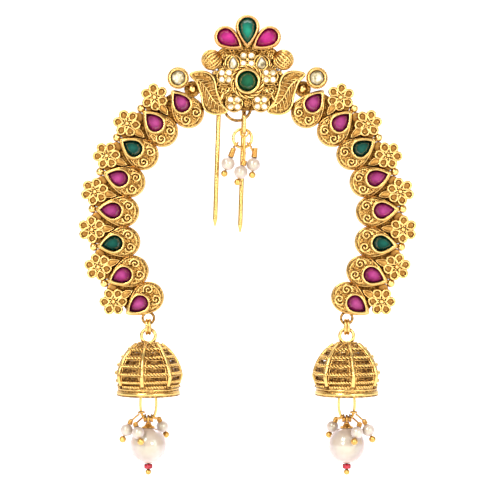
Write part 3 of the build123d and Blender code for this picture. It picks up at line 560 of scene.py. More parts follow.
def gold(name, bright, mid, dark, roughness, grain=0.4, granules=0.0, plain_back=False):
    """Antique gold with painted shade: bright where proud, brown to near black where it is hemmed in;
    granules cover plain sheet.
    """
    material, tree, shader = nodes_of(name)
    hollow = tree.nodes.new("ShaderNodeAmbientOcclusion")
    hollow.samples = 8
    hollow.inputs["Distance"].default_value = 1.05 * MM
    # painted shade: the colour darkens with ambient occlusion in creases and hollows
    shade = ramp(tree, hollow.outputs["AO"], [(0.25, dark), (0.58, mid), (0.94, bright)])
    cloud = ramp(tree, noise(tree, 420.0, 5.0), [(0.35, (0.72, 0.60, 0.50)), (0.62, (1, 1, 1))])
    colour = mixed(tree, 0.55, shade, cloud, "MULTIPLY")
    if granules:
        pits = stippled(tree, granules, plain_back)
        # painted shade in the pits; the same pattern also gives the relief
        colour = mixed(tree, 0.85, colour, pits, "MULTIPLY")
        bumped(tree, shader, pits, 0.8, 0.12 * MM)
    else:
        bumped(tree, shader, noise(tree, 2600.0, 6.0, 0.7), grain, 0.05 * MM)
    tree.links.new(colour, shader.inputs["Base Color"])
    shader.inputs["Metallic"].default_value = 1.0
    rough = tree.nodes.new("ShaderNodeMapRange")
    rough.inputs["To Min"].default_value = roughness * 0.75
    rough.inputs["To Max"].default_value = roughness * 1.45
    tree.links.new(noise(tree, 900.0, 6.0), rough.inputs["Value"])
    tree.links.new(rough.outputs["Result"], shader.inputs["Roughness"])
    return material


def gem(name, rim, body, glow):
    """Polished stone over foil, with painted light: a painted glow in its heart and painted shade at
    its rim, and faint inclusions.
    """
    material, tree, shader = nodes_of(name)
    place = tree.nodes.new("ShaderNodeTexCoord")
    shift = tree.nodes.new("ShaderNodeMapping")
    shift.inputs["Location"].default_value = (-1.0, -1.0, -1.0)
    shift.inputs["Scale"].default_value = (2.0, 2.0, 2.0)
    tree.links.new(place.outputs["Generated"], shift.inputs["Vector"])
    radial = tree.nodes.new("ShaderNodeTexGradient")
    radial.gradient_type = "SPHERICAL"
    squash = tree.nodes.new("ShaderNodeVectorMath")
    squash.operation = "MULTIPLY"
    squash.inputs[1].default_value = (0.9, 0.0, 0.9)
    tree.links.new(shift.outputs["Vector"], squash.inputs[0])
    tree.links.new(squash.outputs["Vector"], radial.inputs["Vector"])
    # painted light: painted shade at the rim, a painted glow towards the middle of the stone's box
    heart = ramp(tree, radial.outputs["Fac"], [(0.05, rim), (0.38, body), (0.85, glow)])
    faint, strong = (0.55, 0.55, 0.55), (1.25, 1.25, 1.25)
    veil = ramp(tree, noise(tree, 700.0, 6.0), [(0.3, faint), (0.7, strong)])
    tree.links.new(mixed(tree, 0.7, heart, veil, "MULTIPLY"), shader.inputs["Base Color"])
    shader.inputs["Roughness"].default_value = 0.05
    shader.inputs["IOR"].default_value = 1.5
    shader.inputs["Coat Weight"].default_value = 0.2
    shader.inputs["Coat Roughness"].default_value = 0.02
    return material


def clear_gem(name, stops, glow=0.0):
    """Small pale stone whose facets are some dark and some light: painted highlights and painted
    shade mixed with a tone that differs at random, with an even painted glow when one is given.
    """
    material, tree, shader = nodes_of(name)
    # painted highlights and shade standing in for facets that reflect, mixed with a tone that differs
    # at random
    veil = ramp(tree, noise(tree, 900.0, 3.0), stops)
    # painted glow: the stone gives off light though it is no lamp
    shader.inputs["Emission Color"].default_value = (1.0, 0.97, 0.9, 1.0)
    shader.inputs["Emission Strength"].default_value = glow
    tree.links.new(veil, shader.inputs["Base Color"])
    shader.inputs["Roughness"].default_value = 0.04
    shader.inputs["IOR"].default_value = 1.9
    shader.inputs["Coat Weight"].default_value = 0.8
    return material


def pearl(name):
    """Cream pearl with a thin lustrous film."""
    material, tree, shader = nodes_of(name)
    tone = ramp(
        tree,
        noise(tree, 160.0, 3.0),
        [(0.3, (0.50, 0.37, 0.28)), (0.55, (0.61, 0.49, 0.39)), (0.75, (0.72, 0.62, 0.52))],
    )
    tree.links.new(tone, shader.inputs["Base Color"])
    shader.inputs["Roughness"].default_value = 0.20
    shader.inputs["Specular IOR Level"].default_value = 0.7
    shader.inputs["Coat Weight"].default_value = 1.0
    shader.inputs["Coat Roughness"].default_value = 0.13
    shader.inputs["Coat IOR"].default_value = 1.9
    shader.inputs["Sheen Weight"].default_value = 0.25
    shader.inputs["Sheen Tint"].default_value = (1.0, 0.82, 0.76, 1.0)
    shader.inputs["Thin Film Thickness"].default_value = 380.0
    shader.inputs["Thin Film IOR"].default_value = 1.4
    bumped(tree, shader, noise(tree, 1100.0, 4.0), 0.15, 0.02 * MM)
    return material


# Bright, middle and dark tones of gold; gold() paints the dark ones as shade where the surface is
# hemmed in
ANTIQUE_GOLD_AND_PAINTED_SHADE = ((0.83, 0.50, 0.14), (0.58, 0.28, 0.05), (0.07, 0.02, 0.003))
BELL_TONES = ((0.78, 0.46, 0.14), (0.50, 0.24, 0.05), (0.06, 0.02, 0.004))
GOLD = gold("antique_gold_painted_shade", *ANTIQUE_GOLD_AND_PAINTED_SHADE, 0.30)
BELL = gold("bell_gold", *BELL_TONES, 0.34, granules=1900.0)
GRAINED = gold("granulated_gold", *ANTIQUE_GOLD_AND_PAINTED_SHADE, 0.32, granules=2400.0, plain_back=True)
LIP = gold("bright_gold", (0.95, 0.65, 0.23), (0.76, 0.42, 0.10), (0.14, 0.05, 0.01), 0.22, 0.2)
PALE = gold("pale_gold", (0.86, 0.58, 0.19), (0.74, 0.45, 0.12), (0.35, 0.18, 0.04), 0.24, 0.08)
RED_GOLD = gold("peach_gold", (0.95, 0.52, 0.20), (0.80, 0.34, 0.10), (0.2, 0.06, 0.01), 0.25, 0.25)
SHADED = gold("shaded_gold", (0.52, 0.28, 0.07), (0.34, 0.15, 0.03), (0.04, 0.012, 0.002), 0.36)
COIL = gold("coil_gold", (0.90, 0.52, 0.15), (0.68, 0.34, 0.07), (0.16, 0.05, 0.01), 0.26, 0.2)
# Rim, body and glow of each stone: the rim is painted shade and the glow is painted light
RUBY = gem("ruby_stone", (0.06, 0.002, 0.02), (0.20, 0.012, 0.085), (0.38, 0.05, 0.20))
PINK = gem("pink_ruby_stone", (0.10, 0.0, 0.02), (0.32, 0.005, 0.11), (0.50, 0.025, 0.21))
EMERALD = gem("emerald_stone", (0.0, 0.009, 0.007), (0.001, 0.038, 0.026), (0.008, 0.09, 0.065))
GREEN = gem("green_emerald_stone", (0.0, 0.012, 0.005), (0.002, 0.06, 0.024), (0.008, 0.12, 0.05))
TEAL = gem("teal_emerald_stone", (0.0, 0.02, 0.014), (0.0, 0.09, 0.055), (0.012, 0.26, 0.16))
# Pale stones: the dark and light ends of their ramps are painted shade and painted highlights; the
# chips also carry a faint painted glow
WHITE = clear_gem(
    "champagne_stone",
    [(0.36, (0.16, 0.12, 0.05)), (0.48, (0.55, 0.46, 0.25)), (0.64, (0.90, 0.85, 0.70))],
)
CHIP = clear_gem(
    "chip_stone",
    [(0.38, (0.50, 0.40, 0.20)), (0.47, (0.88, 0.80, 0.62)), (0.56, (0.98, 0.96, 0.92))],
    0.16,
)
PEARL = pearl("pearl_lustre")
RED = gem("red_bead_glass", (0.30, 0.0, 0.01), (0.50, 0.004, 0.02), (0.62, 0.02, 0.05))


def material_of(name):
    """Material of a CAD node, by its name."""
    if "arm_stone" in name:
        return EMERALD if name[-1] in "36" else RUBY
    if name == "centre_emerald":
        return GREEN
    if name == "crown_emerald":
        return TEAL
    if name.startswith("crown_ruby"):
        return PINK
    if "chip" in name:
        return CHIP
    if "white" in name:
        return WHITE
    if "pearl" in name and "cap" not in name:
        return PEARL
    if "red_bead" in name:
        return RED
    if name == "arch_frame":
        return GRAINED
    if name.endswith("_bell"):
        return BELL
    if name == "hair_fork":
        return PALE
    if "ring" in name or "link" in name or "bail" in name:
        return LIP
    return GOLD


def paint_frame():
    """Materials of all CAD nodes."""
    for name, piece in frame["nodes"].items():
        piece.data.materials.clear()
        piece.data.materials.append(material_of(name))


# Arms


def lobe_spots():
    """Places of a lobe's granules, clear of its bezel and of each other."""
    end_down, reach = 1.35, 2.75        # the round end's middle under the lobe's, and its radius
    spots, tries = [], 0
    while len(spots) < LOBE_GRAINS and tries < 1500:
        tries += 1
        x, y = random.uniform(-2.9, 2.9), random.uniform(-4.2, 2.6)
        from_end = math.hypot(x, y + end_down)
        if y < -end_down:
            inside = from_end < reach
        else:
            inside = abs(x) < reach - 0.5 * (y + end_down)
        clear = math.hypot(x / 2.3, (y - 1.3) / 3.0) > 1.0
        if inside and clear and all(math.hypot(x - a, y - b) > 0.36 for a, b, _ in spots):
            spots.append((x, y, 2.43 if from_end < 2.1 else 2.2))
    return spots


def lobe(lips, wires, grains, angle, tilt):
    """Rim, beading, bezel wires, scrolls and granules of one lobe."""

    def at_lobe(points, height=0.0):
        p = arr(points) + np.array((0, -INSET, height))
        return on_arch(p, ARCH, angle, tilt)

    lips.tube(at_lobe(pear(*LOBE_RIM, 56), 1.5), 0.30, 8, True)
    beading = [p for p in pear(*LOBE_BEADING, 90) if p[1] < 0.2]
    wires.beads(at_lobe(beading, 2.28), 0.15)
    lip = pear(*STONE_LIP, 44) + np.array((0, STONE_OUT, BEZEL_TOP))
    lips.tube(on_arch(lip, ARCH, angle, tilt), LIP_WIRE, 10, True)
    foot = pear(*STONE_FOOT, 44) + np.array((0, STONE_OUT, BEZEL_FOOT))
    lips.tube(on_arch(foot, ARCH, angle, tilt), FINE_WIRE, 6, True)
    for hand in (-1, 1):
        start, sweep = 90 - hand * 10, -hand * 480
        curl = spiral((hand * 1.32, -2.45), 1.18, 0.26, start, sweep, 2.66, 36)
        wires.tube(at_lobe(curl), np.linspace(0.27, 0.18, 36), 7)
        wires.beads(at_lobe([curl[-1]]), 0.25, detail=3)
        start, sweep = 270 + hand * 20, -hand * 330
        tail = spiral((hand * 2.25, -0.75), 0.62, 0.2, start, sweep, 2.5, 20)
        wires.tube(at_lobe(tail), 0.14, 6)
    grains.beads(at_lobe(lobe_spots()), 0.19)


def flower(lips, grains, plates, angle):
    """Wire petals round a ball in a nest of beads, on a backing disc."""

    def at_flower(points):
        return on_arch(points, FLOWERS, angle)

    petal = pear(*PETAL, 24, PETAL_FULLNESS) * TIP_DOWN + np.array((0, PETAL_OUT, 1.80))
    filling = pear(*FILLING, 20, PETAL_FULLNESS) * TIP_DOWN + np.array((0, PETAL_OUT, 0))
    plates.plate(at_flower(circle((0, 0, 0), 1.5, 20)), 0.85, 1.6)
    plates.plate(at_flower(circle((0, 0, 0), 2.3, 24)), 0.80, 1.25)
    for k in range(PETALS):
        turn = 360 / PETALS * (k + 0.5)
        lips.tube(at_flower(turned(petal, turn)), LIP_WIRE, 8, True)
        plates.plate(at_flower(turned(filling, turn)), 0.85, 1.62)
        grains.beads(at_flower(turned([(0, 2.2, 1.68)], turn)), 0.17)
    lips.beads(at_flower([(0, 0, 1.95)]), 0.52, detail=5)
    lips.beads(at_flower(circle((0, 0, 1.85), 0.72, 9)), 0.2)


def wedge(lips, grains, plates, angle):
    """Drop-shaped wedge inside a flower, and granules round it."""
    drop = pear(*WEDGE, 24) * TIP_DOWN + np.array((0, -WEDGE_IN, 0))
    plates.plate(on_arch(drop, WEDGES, angle), 1.6, 2.0, 0.25)
    lips.tube(on_arch(lifted(drop, 1.95), WEDGES, angle), FINE_WIRE, 6, True)
    nest = []
    for _ in range(WEDGE_GRAINS):
        x, y = random.uniform(-1.9, 1.9), random.uniform(-5.2, -0.4)
        nest.append((x, y, 1.02))
    grains.beads(on_arch(nest, WEDGES, angle), 0.17)


def tip_ball(lips, plates, angle):
    """Ball outside a lobe, with its collar and the webs beside it."""
    for hand in (-1, 1):
        web = on_arch(circle((0, 0, 0), 1.1, 16), WEBS, angle + hand * WEB_ANGLE)
        plates.plate(web, 0.80, 1.3)
    lips.beads(on_arch([(0, 0, 0.95)], TIP_BALLS, angle), 0.93, detail=5)
    lips.tube(on_arch(circle((0, -0.95, 1.25), 0.42, 12), TIP_BALLS, angle), 0.14, 6, True)


def arms():
    """Wires, beads, grains and backing plates on both arms."""
    lips, wires, grains, plates = Pile(), Pile(), Pile(), Pile()
    for side in (-1, 1):
        for index in range(LOBES):
            angle = side * (FIRST + PITCH * index)
            lobe(lips, wires, grains, angle, side * TILT if index == 0 else 0.0)
            if index < LOBES - 1:
                between = angle + side * PITCH * FLOWER_SHARE
                flower(lips, grains, plates, between)
                wedge(lips, grains, plates, between)
            if 0 < index < LOBES - 1:
                tip_ball(lips, plates, angle)
    lips.make("arm_lips", "brooch", LIP, "gold")
    wires.make("arm_scroll_wires", "brooch", LIP, "gold")
    grains.make("arm_grains", "brooch", GOLD, "gold")
    plates.make("flower_plates", "brooch", SHADED, "gold")


# Crest


def leaf_line(length, half_width, count=10):
    """Leaf outline, finely stepped along a curve through the points of its edge."""
    upper = np.array([(u * length, v * half_width) for u, v in LEAF_EDGE])
    whole = np.concatenate([upper[:-1], -upper[:-1]])
    n = len(whole)
    points = []
    for i in range(n):
        a, b, c, d = (whole[(i + k - 1) % n] for k in range(4))
        slope, bend, twist = c - a, 2 * a - 5 * b + 4 * c - d, 3 * b - a - 3 * c + d
        for t in np.linspace(0, 1, count // 2, endpoint=False):
            points.append(0.5 * (2 * b + slope * t + bend * t * t + twist * t**3))
    flat = np.array(points)
    return np.column_stack([flat, np.zeros(len(flat))])


def leaf_sheet(length, half_width, low, crown):
    """Grid of points over a leaf, with its faces, a little domed between rim and rib."""
    line = leaf_line(length, half_width, 16)
    upper = line[: len(line) // 2 + 1]
    along, across = 40, 9
    steps = np.linspace(-0.5, 0.5, along) * length
    top = np.interp(steps, upper[:, 0], upper[:, 1])
    bottom = -top[::-1]
    points = []
    for x, high, deep in zip(steps, top, bottom):
        for share in np.linspace(0, 1, across):
            lift = crown * abs(math.sin(2 * math.pi * share))
            points.append((x, deep + share * (high - deep), low + lift))
    return arr(points), np.array(grid_faces(along, across))


def leaf_rib(t):
    """Middle rib of a leaf, at shares of its half length: along and across."""
    return LEAF_RIB_HALF * t, -LEAF_RIB_WAVE * np.sin(math.pi * t)


def leaves(lips, wires, sheets):
    """Rim, inner line, rib, veins and hollow sheet of both leaves."""
    for side in (-1, 1):

        def placed(points):
            mirrored = arr(points) * np.array((-side, 1, 1))
            return turned(mirrored, side * LEAF_TURN, (*on_crest(LEAF_MIDDLE, side), 0))

        lips.tube(placed(lifted(leaf_line(*LEAF_RIM), 2.32)), LIP_WIRE, 8, True)
        wires.tube(placed(lifted(leaf_line(*LEAF_INNER), 2.2)), 0.12, 6, True)
        points, faces = leaf_sheet(*LEAF_SHEET, 2.02, 0.22)
        sheets.add(row(placed(points)), faces[:, ::-side])
        t = np.linspace(-1, 1, 30)
        rib = np.column_stack([*leaf_rib(t), np.full(30, 2.42)])
        lips.tube(placed(rib), 0.24 * (1 - 0.6 * abs(t)), 6)
        for k in range(9):
            foot = -3.9 + 0.92 * k
            for lift in (-1, 1):
                reach = 2.35 if lift * foot < 0 else 1.3
                reach *= 1 - (abs(foot) / 5.4) ** 2
                s = np.linspace(0, 1, 9)
                y = leaf_rib(foot / LEAF_RIB_HALF)[1] + lift * reach * s**0.8
                vein = np.column_stack([foot + 1.25 * s, y, 2.30 + 0.12 * (1 - s)])
                lips.tube(placed(vein), 0.15 - 0.07 * s, 6)


def emerald_setting(lips, wires):
    """Rope of three strands and the bezel of the middle emerald."""
    x, y = on_crest(EMERALD_MIDDLE)
    for line in rope(circle((x, y, EDGE_BEADS), 3.3, 240), 0.31, 3, 5):
        wires.tube(line, 0.24, 7, True)
    lips.tube(circle((x, y, BEZEL_TOP), 2.48, 48), 0.36, 10, True)
    wires.tube(circle((x, y, BEZEL_FOOT), 2.92, 48), 0.12, 6, True)


def crown_setting(peach, wires, place, turn, length, width):
    """Lip of a crown stone and the beaded edge round it."""
    lip = pear(length, width, 48)
    peach.tube(turned(lip, turn, (*place, BEZEL_TOP)), LIP_WIRE, 10, True)
    edge = pear(length + BEADED_MARGIN, width + BEADED_MARGIN, 72)
    wires.beads(turned(edge, turn, (*place, EDGE_BEADS)), 0.19)


def side_settings(lips, wires, side):
    """Round white stone, ball and hooded stone on one side."""
    x, y = polar(ARCH + WHITE_OUTSET, side * WHITE_ANGLE)
    lips.tube(circle((x, y, BEZEL_TOP), 1.84, 36), 0.26, 8, True)
    wires.beads(circle((x, y, 2.75), 2.27, 34), 0.2)
    x, y = polar(ARCH + SIDE_BALL_OUTSET, side * SIDE_BALL_ANGLE)
    lips.beads([(x, y, 1.3)], 0.98, detail=5)
    wires.tube(circle((x, y, 1.15), 1.35, 28), 0.16, 6, True)
    x, y = on_crest(HOOD_MIDDLE, side)
    lips.tube(turned(pear(*HOOD_LIP, 32), 0, (x, y, SMALL_BEZEL_TOP)), 0.17, 8, True)
    wires.tube(circle((x, y, 2.3), 1.72, 22, -20, 220), 0.2, 8)


def shell(lips, side):
    """Ribs over a ball at the crown's side: nine along it and three across."""
    middle = np.array((*on_crest(SHELL_MIDDLE, side), SHELL_OUT))
    for k in range(9):
        tilt = math.radians(-80 + 20 * k)
        t = np.linspace(-0.47 * math.pi, 0.47 * math.pi, 15)
        rib = np.column_stack(
            [np.cos(t) * math.sin(tilt), np.sin(t), np.cos(t) * math.cos(tilt)]
        )
        lips.tube(turned(rib * 2.14, side * SHELL_TURN) + middle, 0.2, 6)
    for k in range(3):
        tilt = math.radians(-50 + 18 * k)
        t = np.linspace(-0.42 * math.pi, 0.42 * math.pi, 13)
        rib = np.column_stack(
            [np.sin(t) * 0.95, np.full(13, math.sin(tilt)), np.cos(t) * math.cos(tilt)]
        )
        rib /= np.linalg.norm(rib, axis=1)[:, None]
        lips.tube(turned(rib * 2.12, side * SHELL_TURN) + middle, 0.17, 6)


def crescent(lips, side):
    """Swelling wire between the emerald and the leaf."""
    x, y = on_crest(CRESCENT_MIDDLE, side)
    line = circle((x, y, CURL_HEIGHT), 4.8, 20, 192 if side > 0 else -52, 40)
    lips.tube(line, 0.4 * np.sin(np.linspace(0.25, math.pi - 0.25, 20)), 8)


def chip_rings():
    """Middle and radius of each ring of chips: the square flower's, then the discs'."""
    rings = [(*on_crest(SQUARE_FLOWER_MIDDLE), SQUARE_FLOWER_RING)]
    for middle in DISC_MIDDLES:
        rings += [(*on_crest(middle, side), DISC_RING) for side in (-1, 1)]
    return rings


def chip_places(x, y, ring):
    """Middles of the four chips of a ring."""
    corners = [math.radians(45 + 90 * k) for k in range(4)]
    return [(x + ring * math.cos(a), y + ring * math.sin(a)) for a in corners]


def chip_rims(lips, wires):
    """Rims of the chips and discs, and the ball amid each four chips."""
    for x, y, ring in chip_rings():
        for place in chip_places(x, y, ring):
            lips.tube(circle((*place, CHIP_RIMS), 0.71, 18), 0.09, 6, True)
        if ring == DISC_RING:
            wires.tube(circle((x, y, 2.25), 1.82, 32), FINE_WIRE, 6, True)
            lips.beads([(x, y, 2.4)], 0.4, detail=3)
        else:
            lips.beads([(x, y, 2.45)], 0.42, detail=3)


def field_grains(grains):
    """Granules over the ovals of the crest."""
    for across, up, half_width, half_height, height in GRAIN_FIELDS:
        for side in (1, -1) if across else (1,):
            middle = on_crest((across, up), side)
            spots = []
            for _ in range(600):
                x, y = random.uniform(-1, 1), random.uniform(-1, 1)
                if x * x + y * y > 1 or len(spots) >= 42:
                    continue
                x, y = x * half_width, y * half_height
                if all(math.hypot(x - a, y - b) > 0.4 for a, b in spots):
                    spots.append((x, y))
            grains.beads([(middle[0] + x, middle[1] + y, height) for x, y in spots], 0.22)


def curls(lips):
    """Scrolls on the crest's plate, and a three-cornered wire on its bottom pad."""
    for across, up, radius, start in CURLS:
        for side in (-1, 1):
            turn = start if side > 0 else 180 - start
            curl = spiral((side * across, up), radius, 0.16, turn, side * 450, CURL_HEIGHT, 26)
            lips.tube(curl, np.linspace(0.17, 0.13, 26), 6)
    corners = [(-1.2, 26.65, 1.87), (1.2, 26.65, 1.87), (0.0, 24.65, 1.87)]
    lips.tube(corners, 0.16, 6, True)


def crest():
    """Wires, ropes, beads, leaf sheets and grains of the crest."""
    lips, wires, grains, peach, sheets = Pile(), Pile(), Pile(), Pile(), Pile()
    leaves(lips, wires, sheets)
    emerald_setting(lips, wires)
    crown_setting(peach, wires, on_crest(TOP_PEAR_MIDDLE), 180, *TOP_LIP)
    for side in (-1, 1):
        place = on_crest(SIDE_PEAR_MIDDLE, side)
        crown_setting(peach, wires, place, 180 - side * SIDE_PEAR_TURN, *SIDE_LIP)
        side_settings(lips, wires, side)
        shell(lips, side)
        crescent(lips, side)
    chip_rims(lips, wires)
    field_grains(grains)
    curls(lips)
    lips.make("crest_lips", "brooch", LIP, "gold")
    wires.make("crest_wires", "brooch", LIP, "gold")
    grains.make("crest_grains", "brooch", GOLD, "gold")
    peach.make("crown_bezel_lips", "brooch", RED_GOLD, "gold")
    sheets.make("leaf_sheets", "brooch", SHADED, "gold")


def chip_stones():
    """Eight-sided stones with a table, in place of the CAD's chips and a little wider."""
    node = frame["nodes"]["crest_chip_stones"]
    corners = np.array([tuple(v.co) for v in node.data.vertices]) / MM
    profile = [(0.58, -0.75), (0.66, -0.40), (0.40, 0.03), (0.01, 0.03)]    # radius, rise
    faces = ring_faces(len(profile), 8)
    stones = Pile()
    for x, y, ring in chip_rings():
        for k, place in enumerate(chip_places(x, y, ring)):
            reach = np.hypot(corners[:, 0] - place[0], corners[:, 2] + ROOT - place[1])
            top = -corners[reach < 0.6, 1].min()
            turn = 22.5 + 30 * k
            points = [circle((*place, top + rise), radius, 8, turn) for radius, rise in profile]
            stones.add(row(np.concatenate(points)), faces)
    piece = stones.make("crest_cut_chips", "brooch", CHIP, "white_stone", smooth=False)
    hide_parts("crest_chip_stones")


# Bells


def arc_middle(a, b, c):
    """Middle of the circle through three points."""
    (ax, ay), (bx, by), (cx, cy) = a, b, c
    d = 2 * (ax * (by - cy) + bx * (cy - ay) + cx * (ay - by))
    a2, b2, c2 = ax * ax + ay * ay, bx * bx + by * by, cx * cx + cy * cy
    x = (a2 * (by - cy) + b2 * (cy - ay) + c2 * (ay - by)) / d
    y = (a2 * (cx - bx) + b2 * (ax - cx) + c2 * (bx - ax)) / d
    return x, y


DOME_MIDDLE = arc_middle((NECK, 0.0), (SHOULDER, SHOULDER_DEPTH), (BULGE, BULGE_DEPTH))


def dome(depth):
    """The bell's outer radius at a depth under its top."""
    if depth >= BULGE_DEPTH:
        share = (depth - BULGE_DEPTH) / (WAIST_DEPTH - BULGE_DEPTH)
        return BULGE + min(share, 1.0) * (WAIST - BULGE)
    x, y = DOME_MIDDLE
    reach = math.hypot(NECK - x, y)
    return x + math.sqrt(max(reach**2 - (depth - y) ** 2, 0.0))


def bell_ribs(lips, wires, on_bell):
    """Polished ribs, each between two fine wires, and crossed wires round the neck."""
    for k in range(RIBS):
        line = [on_bell(k * SECTOR, d, 0.28) for d in np.linspace(0.25, 9.0, 22)]
        lips.tube(line, 0.43 * np.linspace(0.9, 1.15, 22), 10, change=standing)
        for off in (-5.2, 5.2):
            depths = np.linspace(1.3, 9.0, 20)
            line = [on_bell(k * SECTOR + off * (1.5 - 0.06 * d), d, 0.1) for d in depths]
            wires.tube(line, 0.14, 6, change=standing)
    for k in range(2 * RIBS):
        for hand in (-1, 1):
            t = np.linspace(0, 1, 8)
            line = [on_bell(k * SECTOR / 2 + hand * 18 * s, 0.15 + 1.0 * s, 0.1) for s in t]
            wires.tube(line, 0.11, 5, change=standing)


def slot_scrolls(scrolls, on_bell, low, high):
    """Wires that cross in the slots between two hoops; some slots stay open."""
    t = np.linspace(-1, 1, 17)
    sweep = 5.0 * np.sin(t * math.pi)
    depths = (low + high) / 2 + t * (high - low) / 2
    for k in range(RIBS):
        for part in range(2):
            if random.random() < OPEN_SLOTS:
                continue
            centre = (k + 0.5) * SECTOR + (part - 0.5) * 15.0
            for hand in (-1, 1):
                line = [on_bell(centre + hand * s, d, -0.12) for s, d in zip(sweep, depths)]
                scrolls.tube(line, 0.13, 5, change=standing)


def bell_hoops(wires, scrolls, on_bell):
    """Rope hoops with a fine wire under each, and the scrolls between them."""
    for ring in range(HOOPS):
        depth = HOOP_PITCH * (0.7 + ring)
        line = [on_bell(a, depth, 0.26) for a in np.linspace(0, 360, 200, endpoint=False)]
        for strand in rope(line, 0.21, 2, 16 + 5 * ring):
            wires.tube(strand, 0.20, 6, True, standing)
        line = [on_bell(a, depth + 0.5, 0.02) for a in np.linspace(0, 360, 90, endpoint=False)]
        wires.tube(line, 0.12, 5, True, standing)
        if ring < HOOPS - 1:
            slot_scrolls(scrolls, on_bell, depth + 0.52, depth + HOOP_PITCH - 0.2)


def bell_ends(lips, wires, x0, y0):
    """Rope and rims of the bell's foot, and the eye with its rope at the neck."""
    for strand in rope(circle((x0, y0, BELL_TOP - 0.805 * BELL_HEIGHT), 6.42, 260), 0.24, 2, 34):
        wires.tube(strand, 0.22, 6, True, standing)
    for depth, radius, wire in FOOT_RIMS:
        lips.tube(circle((x0, y0, BELL_TOP - depth), radius, 96), wire, 12, True, standing)
    flat = circle((x0, BELL_TOP + EYE_RADIUS, y0), EYE_RADIUS, 40)
    lips.tube(flat[:, [0, 2, 1]], EYE_WIRE + 0.03, 10, True, standing)
    for strand in rope(circle((x0, y0, BELL_TOP + 0.02), 2.1, 52), 0.14, 2, 10):
        wires.tube(strand, 0.14, 5, True, standing)


def bell(side, word):
    """Ribs, ropes, rims and scrolls of one bell."""
    body = f"{word}_bell_drop"
    x0, y0 = side * DROP_X, -CHAIN_OUT

    def on_bell(angle, depth, out):
        """Point on the bell: degrees from its first rib, depth under its top, distance out."""
        a = math.radians(angle - 90 + side * BELL_TURN)
        r = dome(depth) + out
        return x0 + r * math.cos(a), y0 + r * math.sin(a), BELL_TOP - depth

    lips, wires, scrolls = Pile(), Pile(), Pile()
    bell_ribs(lips, wires, on_bell)
    bell_hoops(wires, scrolls, on_bell)
    bell_ends(lips, wires, x0, y0)
    lips.make(f"{word}_bell_ribs", body, LIP, "gold")
    wires.make(f"{word}_bell_ropes", body, LIP, "gold")
    scrolls.make(f"{word}_bell_scrolls", body, BELL, "gold")


# Pendants and centre drop


def rounded(share):
    """Cosine or sine bent so that an ellipse gets fuller corners."""
    return np.sign(share) * abs(share) ** (2 / RING_FULLNESS)


def oval_ring(x0, y0, low, high):
    """Line of the ring under a bell, between its lowest and highest points."""
    t = np.linspace(0, 2 * math.pi, 72, endpoint=False)
    half_high = (high - low) / 2 - RING_WIRE
    across = rounded(np.cos(t)) * RING_HALF_WIDTH
    up = rounded(np.sin(t)) * half_high
    return np.column_stack([x0 + across, np.full(72, y0), (low + high) / 2 + up])


def pendant(side, word):
    """Oval ring in place of the CAD's, and the wound wire ends above the pearls."""
    body = f"{word}_pendant"
    x0, y0 = side * DROP_X, -CHAIN_OUT
    low, high = (corner[2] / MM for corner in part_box(f"{word}_pendant_ring"))
    oval = Pile()
    oval.tube(oval_ring(x0, y0, low, high), RING_WIRE, 10, True, standing)
    ring = oval.make(f"{word}_pendant_oval_ring", body, LIP, "gold")
    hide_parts(f"{word}_pendant_ring")
    wound = Pile()
    coil(wound, (x0, y0, PEARL_Z + 5.0), (x0, y0, PEARL_Z + 4.62), 0.42, 0.14, 2.2, 1.4)
    foot = low + 0.35
    for start, end in ((-1.0, -0.35), (0.35, 1.0)):
        coil(wound, (x0 + start, y0, foot), (x0 + end, y0, foot), 0.56, 0.15, 2.6)
    wound.beads(circle((x0, y0, PEARL_Z + 3.98), 1.28, 10), 0.2, standing)
    for across, out, up, point_across, point_out, point_up in SMALL_PEARLS:
        away = np.array((side * across, -out, up)) * PEARL_RADIUS
        place = np.array((x0, y0, PEARL_Z)) + away
        point = unit((side * point_across, -point_out, point_up))
        coil(wound, place - point * 2.35, place - point * 1.42, 0.44, 0.13, 3.4, 1.15)
    wound.make(f"{word}_pendant_coils", body, COIL, "gold")


def centre_coils():
    """Wound wire ends above the three pearls of the centre drop."""
    wound = Pile()
    ring_x, _, ring_z = middle_of("centre_ring")
    for name, across, up, point_across, point_up, start in DROP_PEARLS:
        y = middle_of(f"centre_pearl_{name}")[1]
        place = np.array((ring_x + across * DROP_RING_RADIUS, y, ring_z + up * DROP_RING_RADIUS))
        point = unit((point_across, 0, point_up))
        coil(wound, place - point * start, place - point * 1.56, 0.46, 0.14, start * 2.2, 1.25)
    wound.make("centre_coils", "brooch", COIL, "gold")


# Floor, light and camera


def stage():
    """Pale floor that curves up into a plain wall."""
    front, back, bend, top, half_width = -1.2, 0.25, 0.35, 1.6, 1.6
    profile = [(front, FLOOR), (back, FLOOR)]
    for a in np.linspace(0, math.pi / 2, 13):
        profile.append((back + bend * math.sin(a), FLOOR + bend * (1 - math.cos(a))))
    profile.append((back + bend, top))
    points, faces = [], []
    for y, z in profile:
        points += [(-half_width, y, z), (half_width, y, z)]
    for k in range(len(profile) - 1):
        faces.append((2 * k, 2 * k + 1, 2 * k + 3, 2 * k + 2))
    mesh = bpy.data.meshes.new("floor")
    mesh.from_pydata(points, [], faces)
    for polygon in mesh.polygons:
        polygon.use_smooth = True
    floor = bpy.data.objects.new("floor", mesh)
    bpy.context.scene.collection.objects.link(floor)
    material, tree, shader = nodes_of("pale_floor")
    tone = ramp(tree, noise(tree, 3.0, 3.0), [(0.3, (0.90, 0.90, 0.90)), (0.7, (0.94, 0.94, 0.94))])
    tree.links.new(tone, shader.inputs["Base Color"])
    shader.inputs["Roughness"].default_value = 0.8
    shader.inputs["Emission Color"].default_value = (1, 1, 1, 1)
    shader.inputs["Emission Strength"].default_value = 0.30
    mesh.materials.append(material)


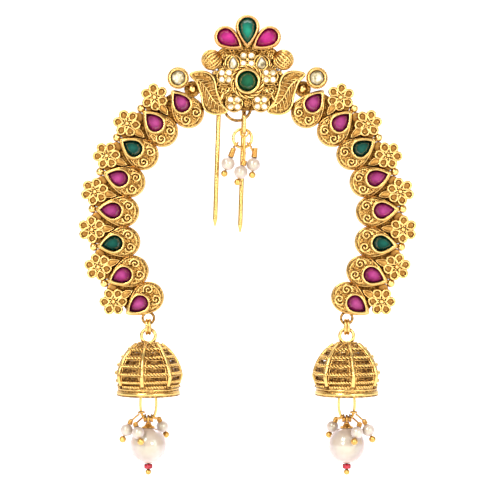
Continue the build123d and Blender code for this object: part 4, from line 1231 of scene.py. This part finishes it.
def world():
    """Room that is warm and dim below and bright above."""
    scene_world = bpy.data.worlds.new("studio")
    bpy.context.scene.world = scene_world
    scene_world.use_nodes = True
    tree = scene_world.node_tree
    back = tree.nodes["Background"]
    place = tree.nodes.new("ShaderNodeTexCoord")
    split = tree.nodes.new("ShaderNodeSeparateXYZ")
    tree.links.new(place.outputs["Generated"], split.inputs["Vector"])
    shift = tree.nodes.new("ShaderNodeMapRange")
    shift.inputs["From Min"].default_value = -1.0
    tree.links.new(split.outputs["Z"], shift.inputs["Value"])
    tone = ramp(
        tree,
        shift.outputs["Result"],
        [(0.25, (0.20, 0.17, 0.14)), (0.48, (0.30, 0.28, 0.26)), (0.56, (0.95, 0.95, 0.95))],
    )
    tree.links.new(tone, back.inputs["Color"])
    back.inputs["Strength"].default_value = 0.42


def lights():
    """Soft boxes that all look at the brooch."""
    for name, place, size, power in LIGHTS:
        lamp = bpy.data.lights.new(name, "AREA")
        lamp.shape = "RECTANGLE"
        lamp.size, lamp.size_y = size
        lamp.energy = power
        piece = bpy.data.objects.new(name, lamp)
        bpy.context.scene.collection.objects.link(piece)
        piece.location = place
        look = Vector(LIGHT_TARGET) - Vector(place)
        piece.rotation_euler = look.to_track_quat("-Z", "Y").to_euler()


def camera():
    """Camera that sees the brooch as large as the photograph does."""
    lens, sensor = 120.0, 36.0
    width = PHOTO_PIXELS * MM_PER_PIXEL * MM
    distance = lens * width / sensor
    data = bpy.data.cameras.new("camera")
    data.lens, data.sensor_width = lens, sensor
    data.clip_start, data.clip_end = 0.01, 10.0
    piece = bpy.data.objects.new("camera", data)
    bpy.context.scene.collection.objects.link(piece)
    piece.location = (-0.77 * MM, -distance - 2.0 * MM, -31.8 * MM)
    piece.rotation_euler = (math.pi / 2, 0, 0)
    bpy.context.scene.camera = piece
    bpy.context.scene.view_settings.view_transform = "Standard"


paint_frame()
arms()
crest()
chip_stones()
for hand, word in ((-1, "left"), (1, "right")):
    bell(hand, word)
    pendant(hand, word)
centre_coils()
stage()
world()
lights()
camera()
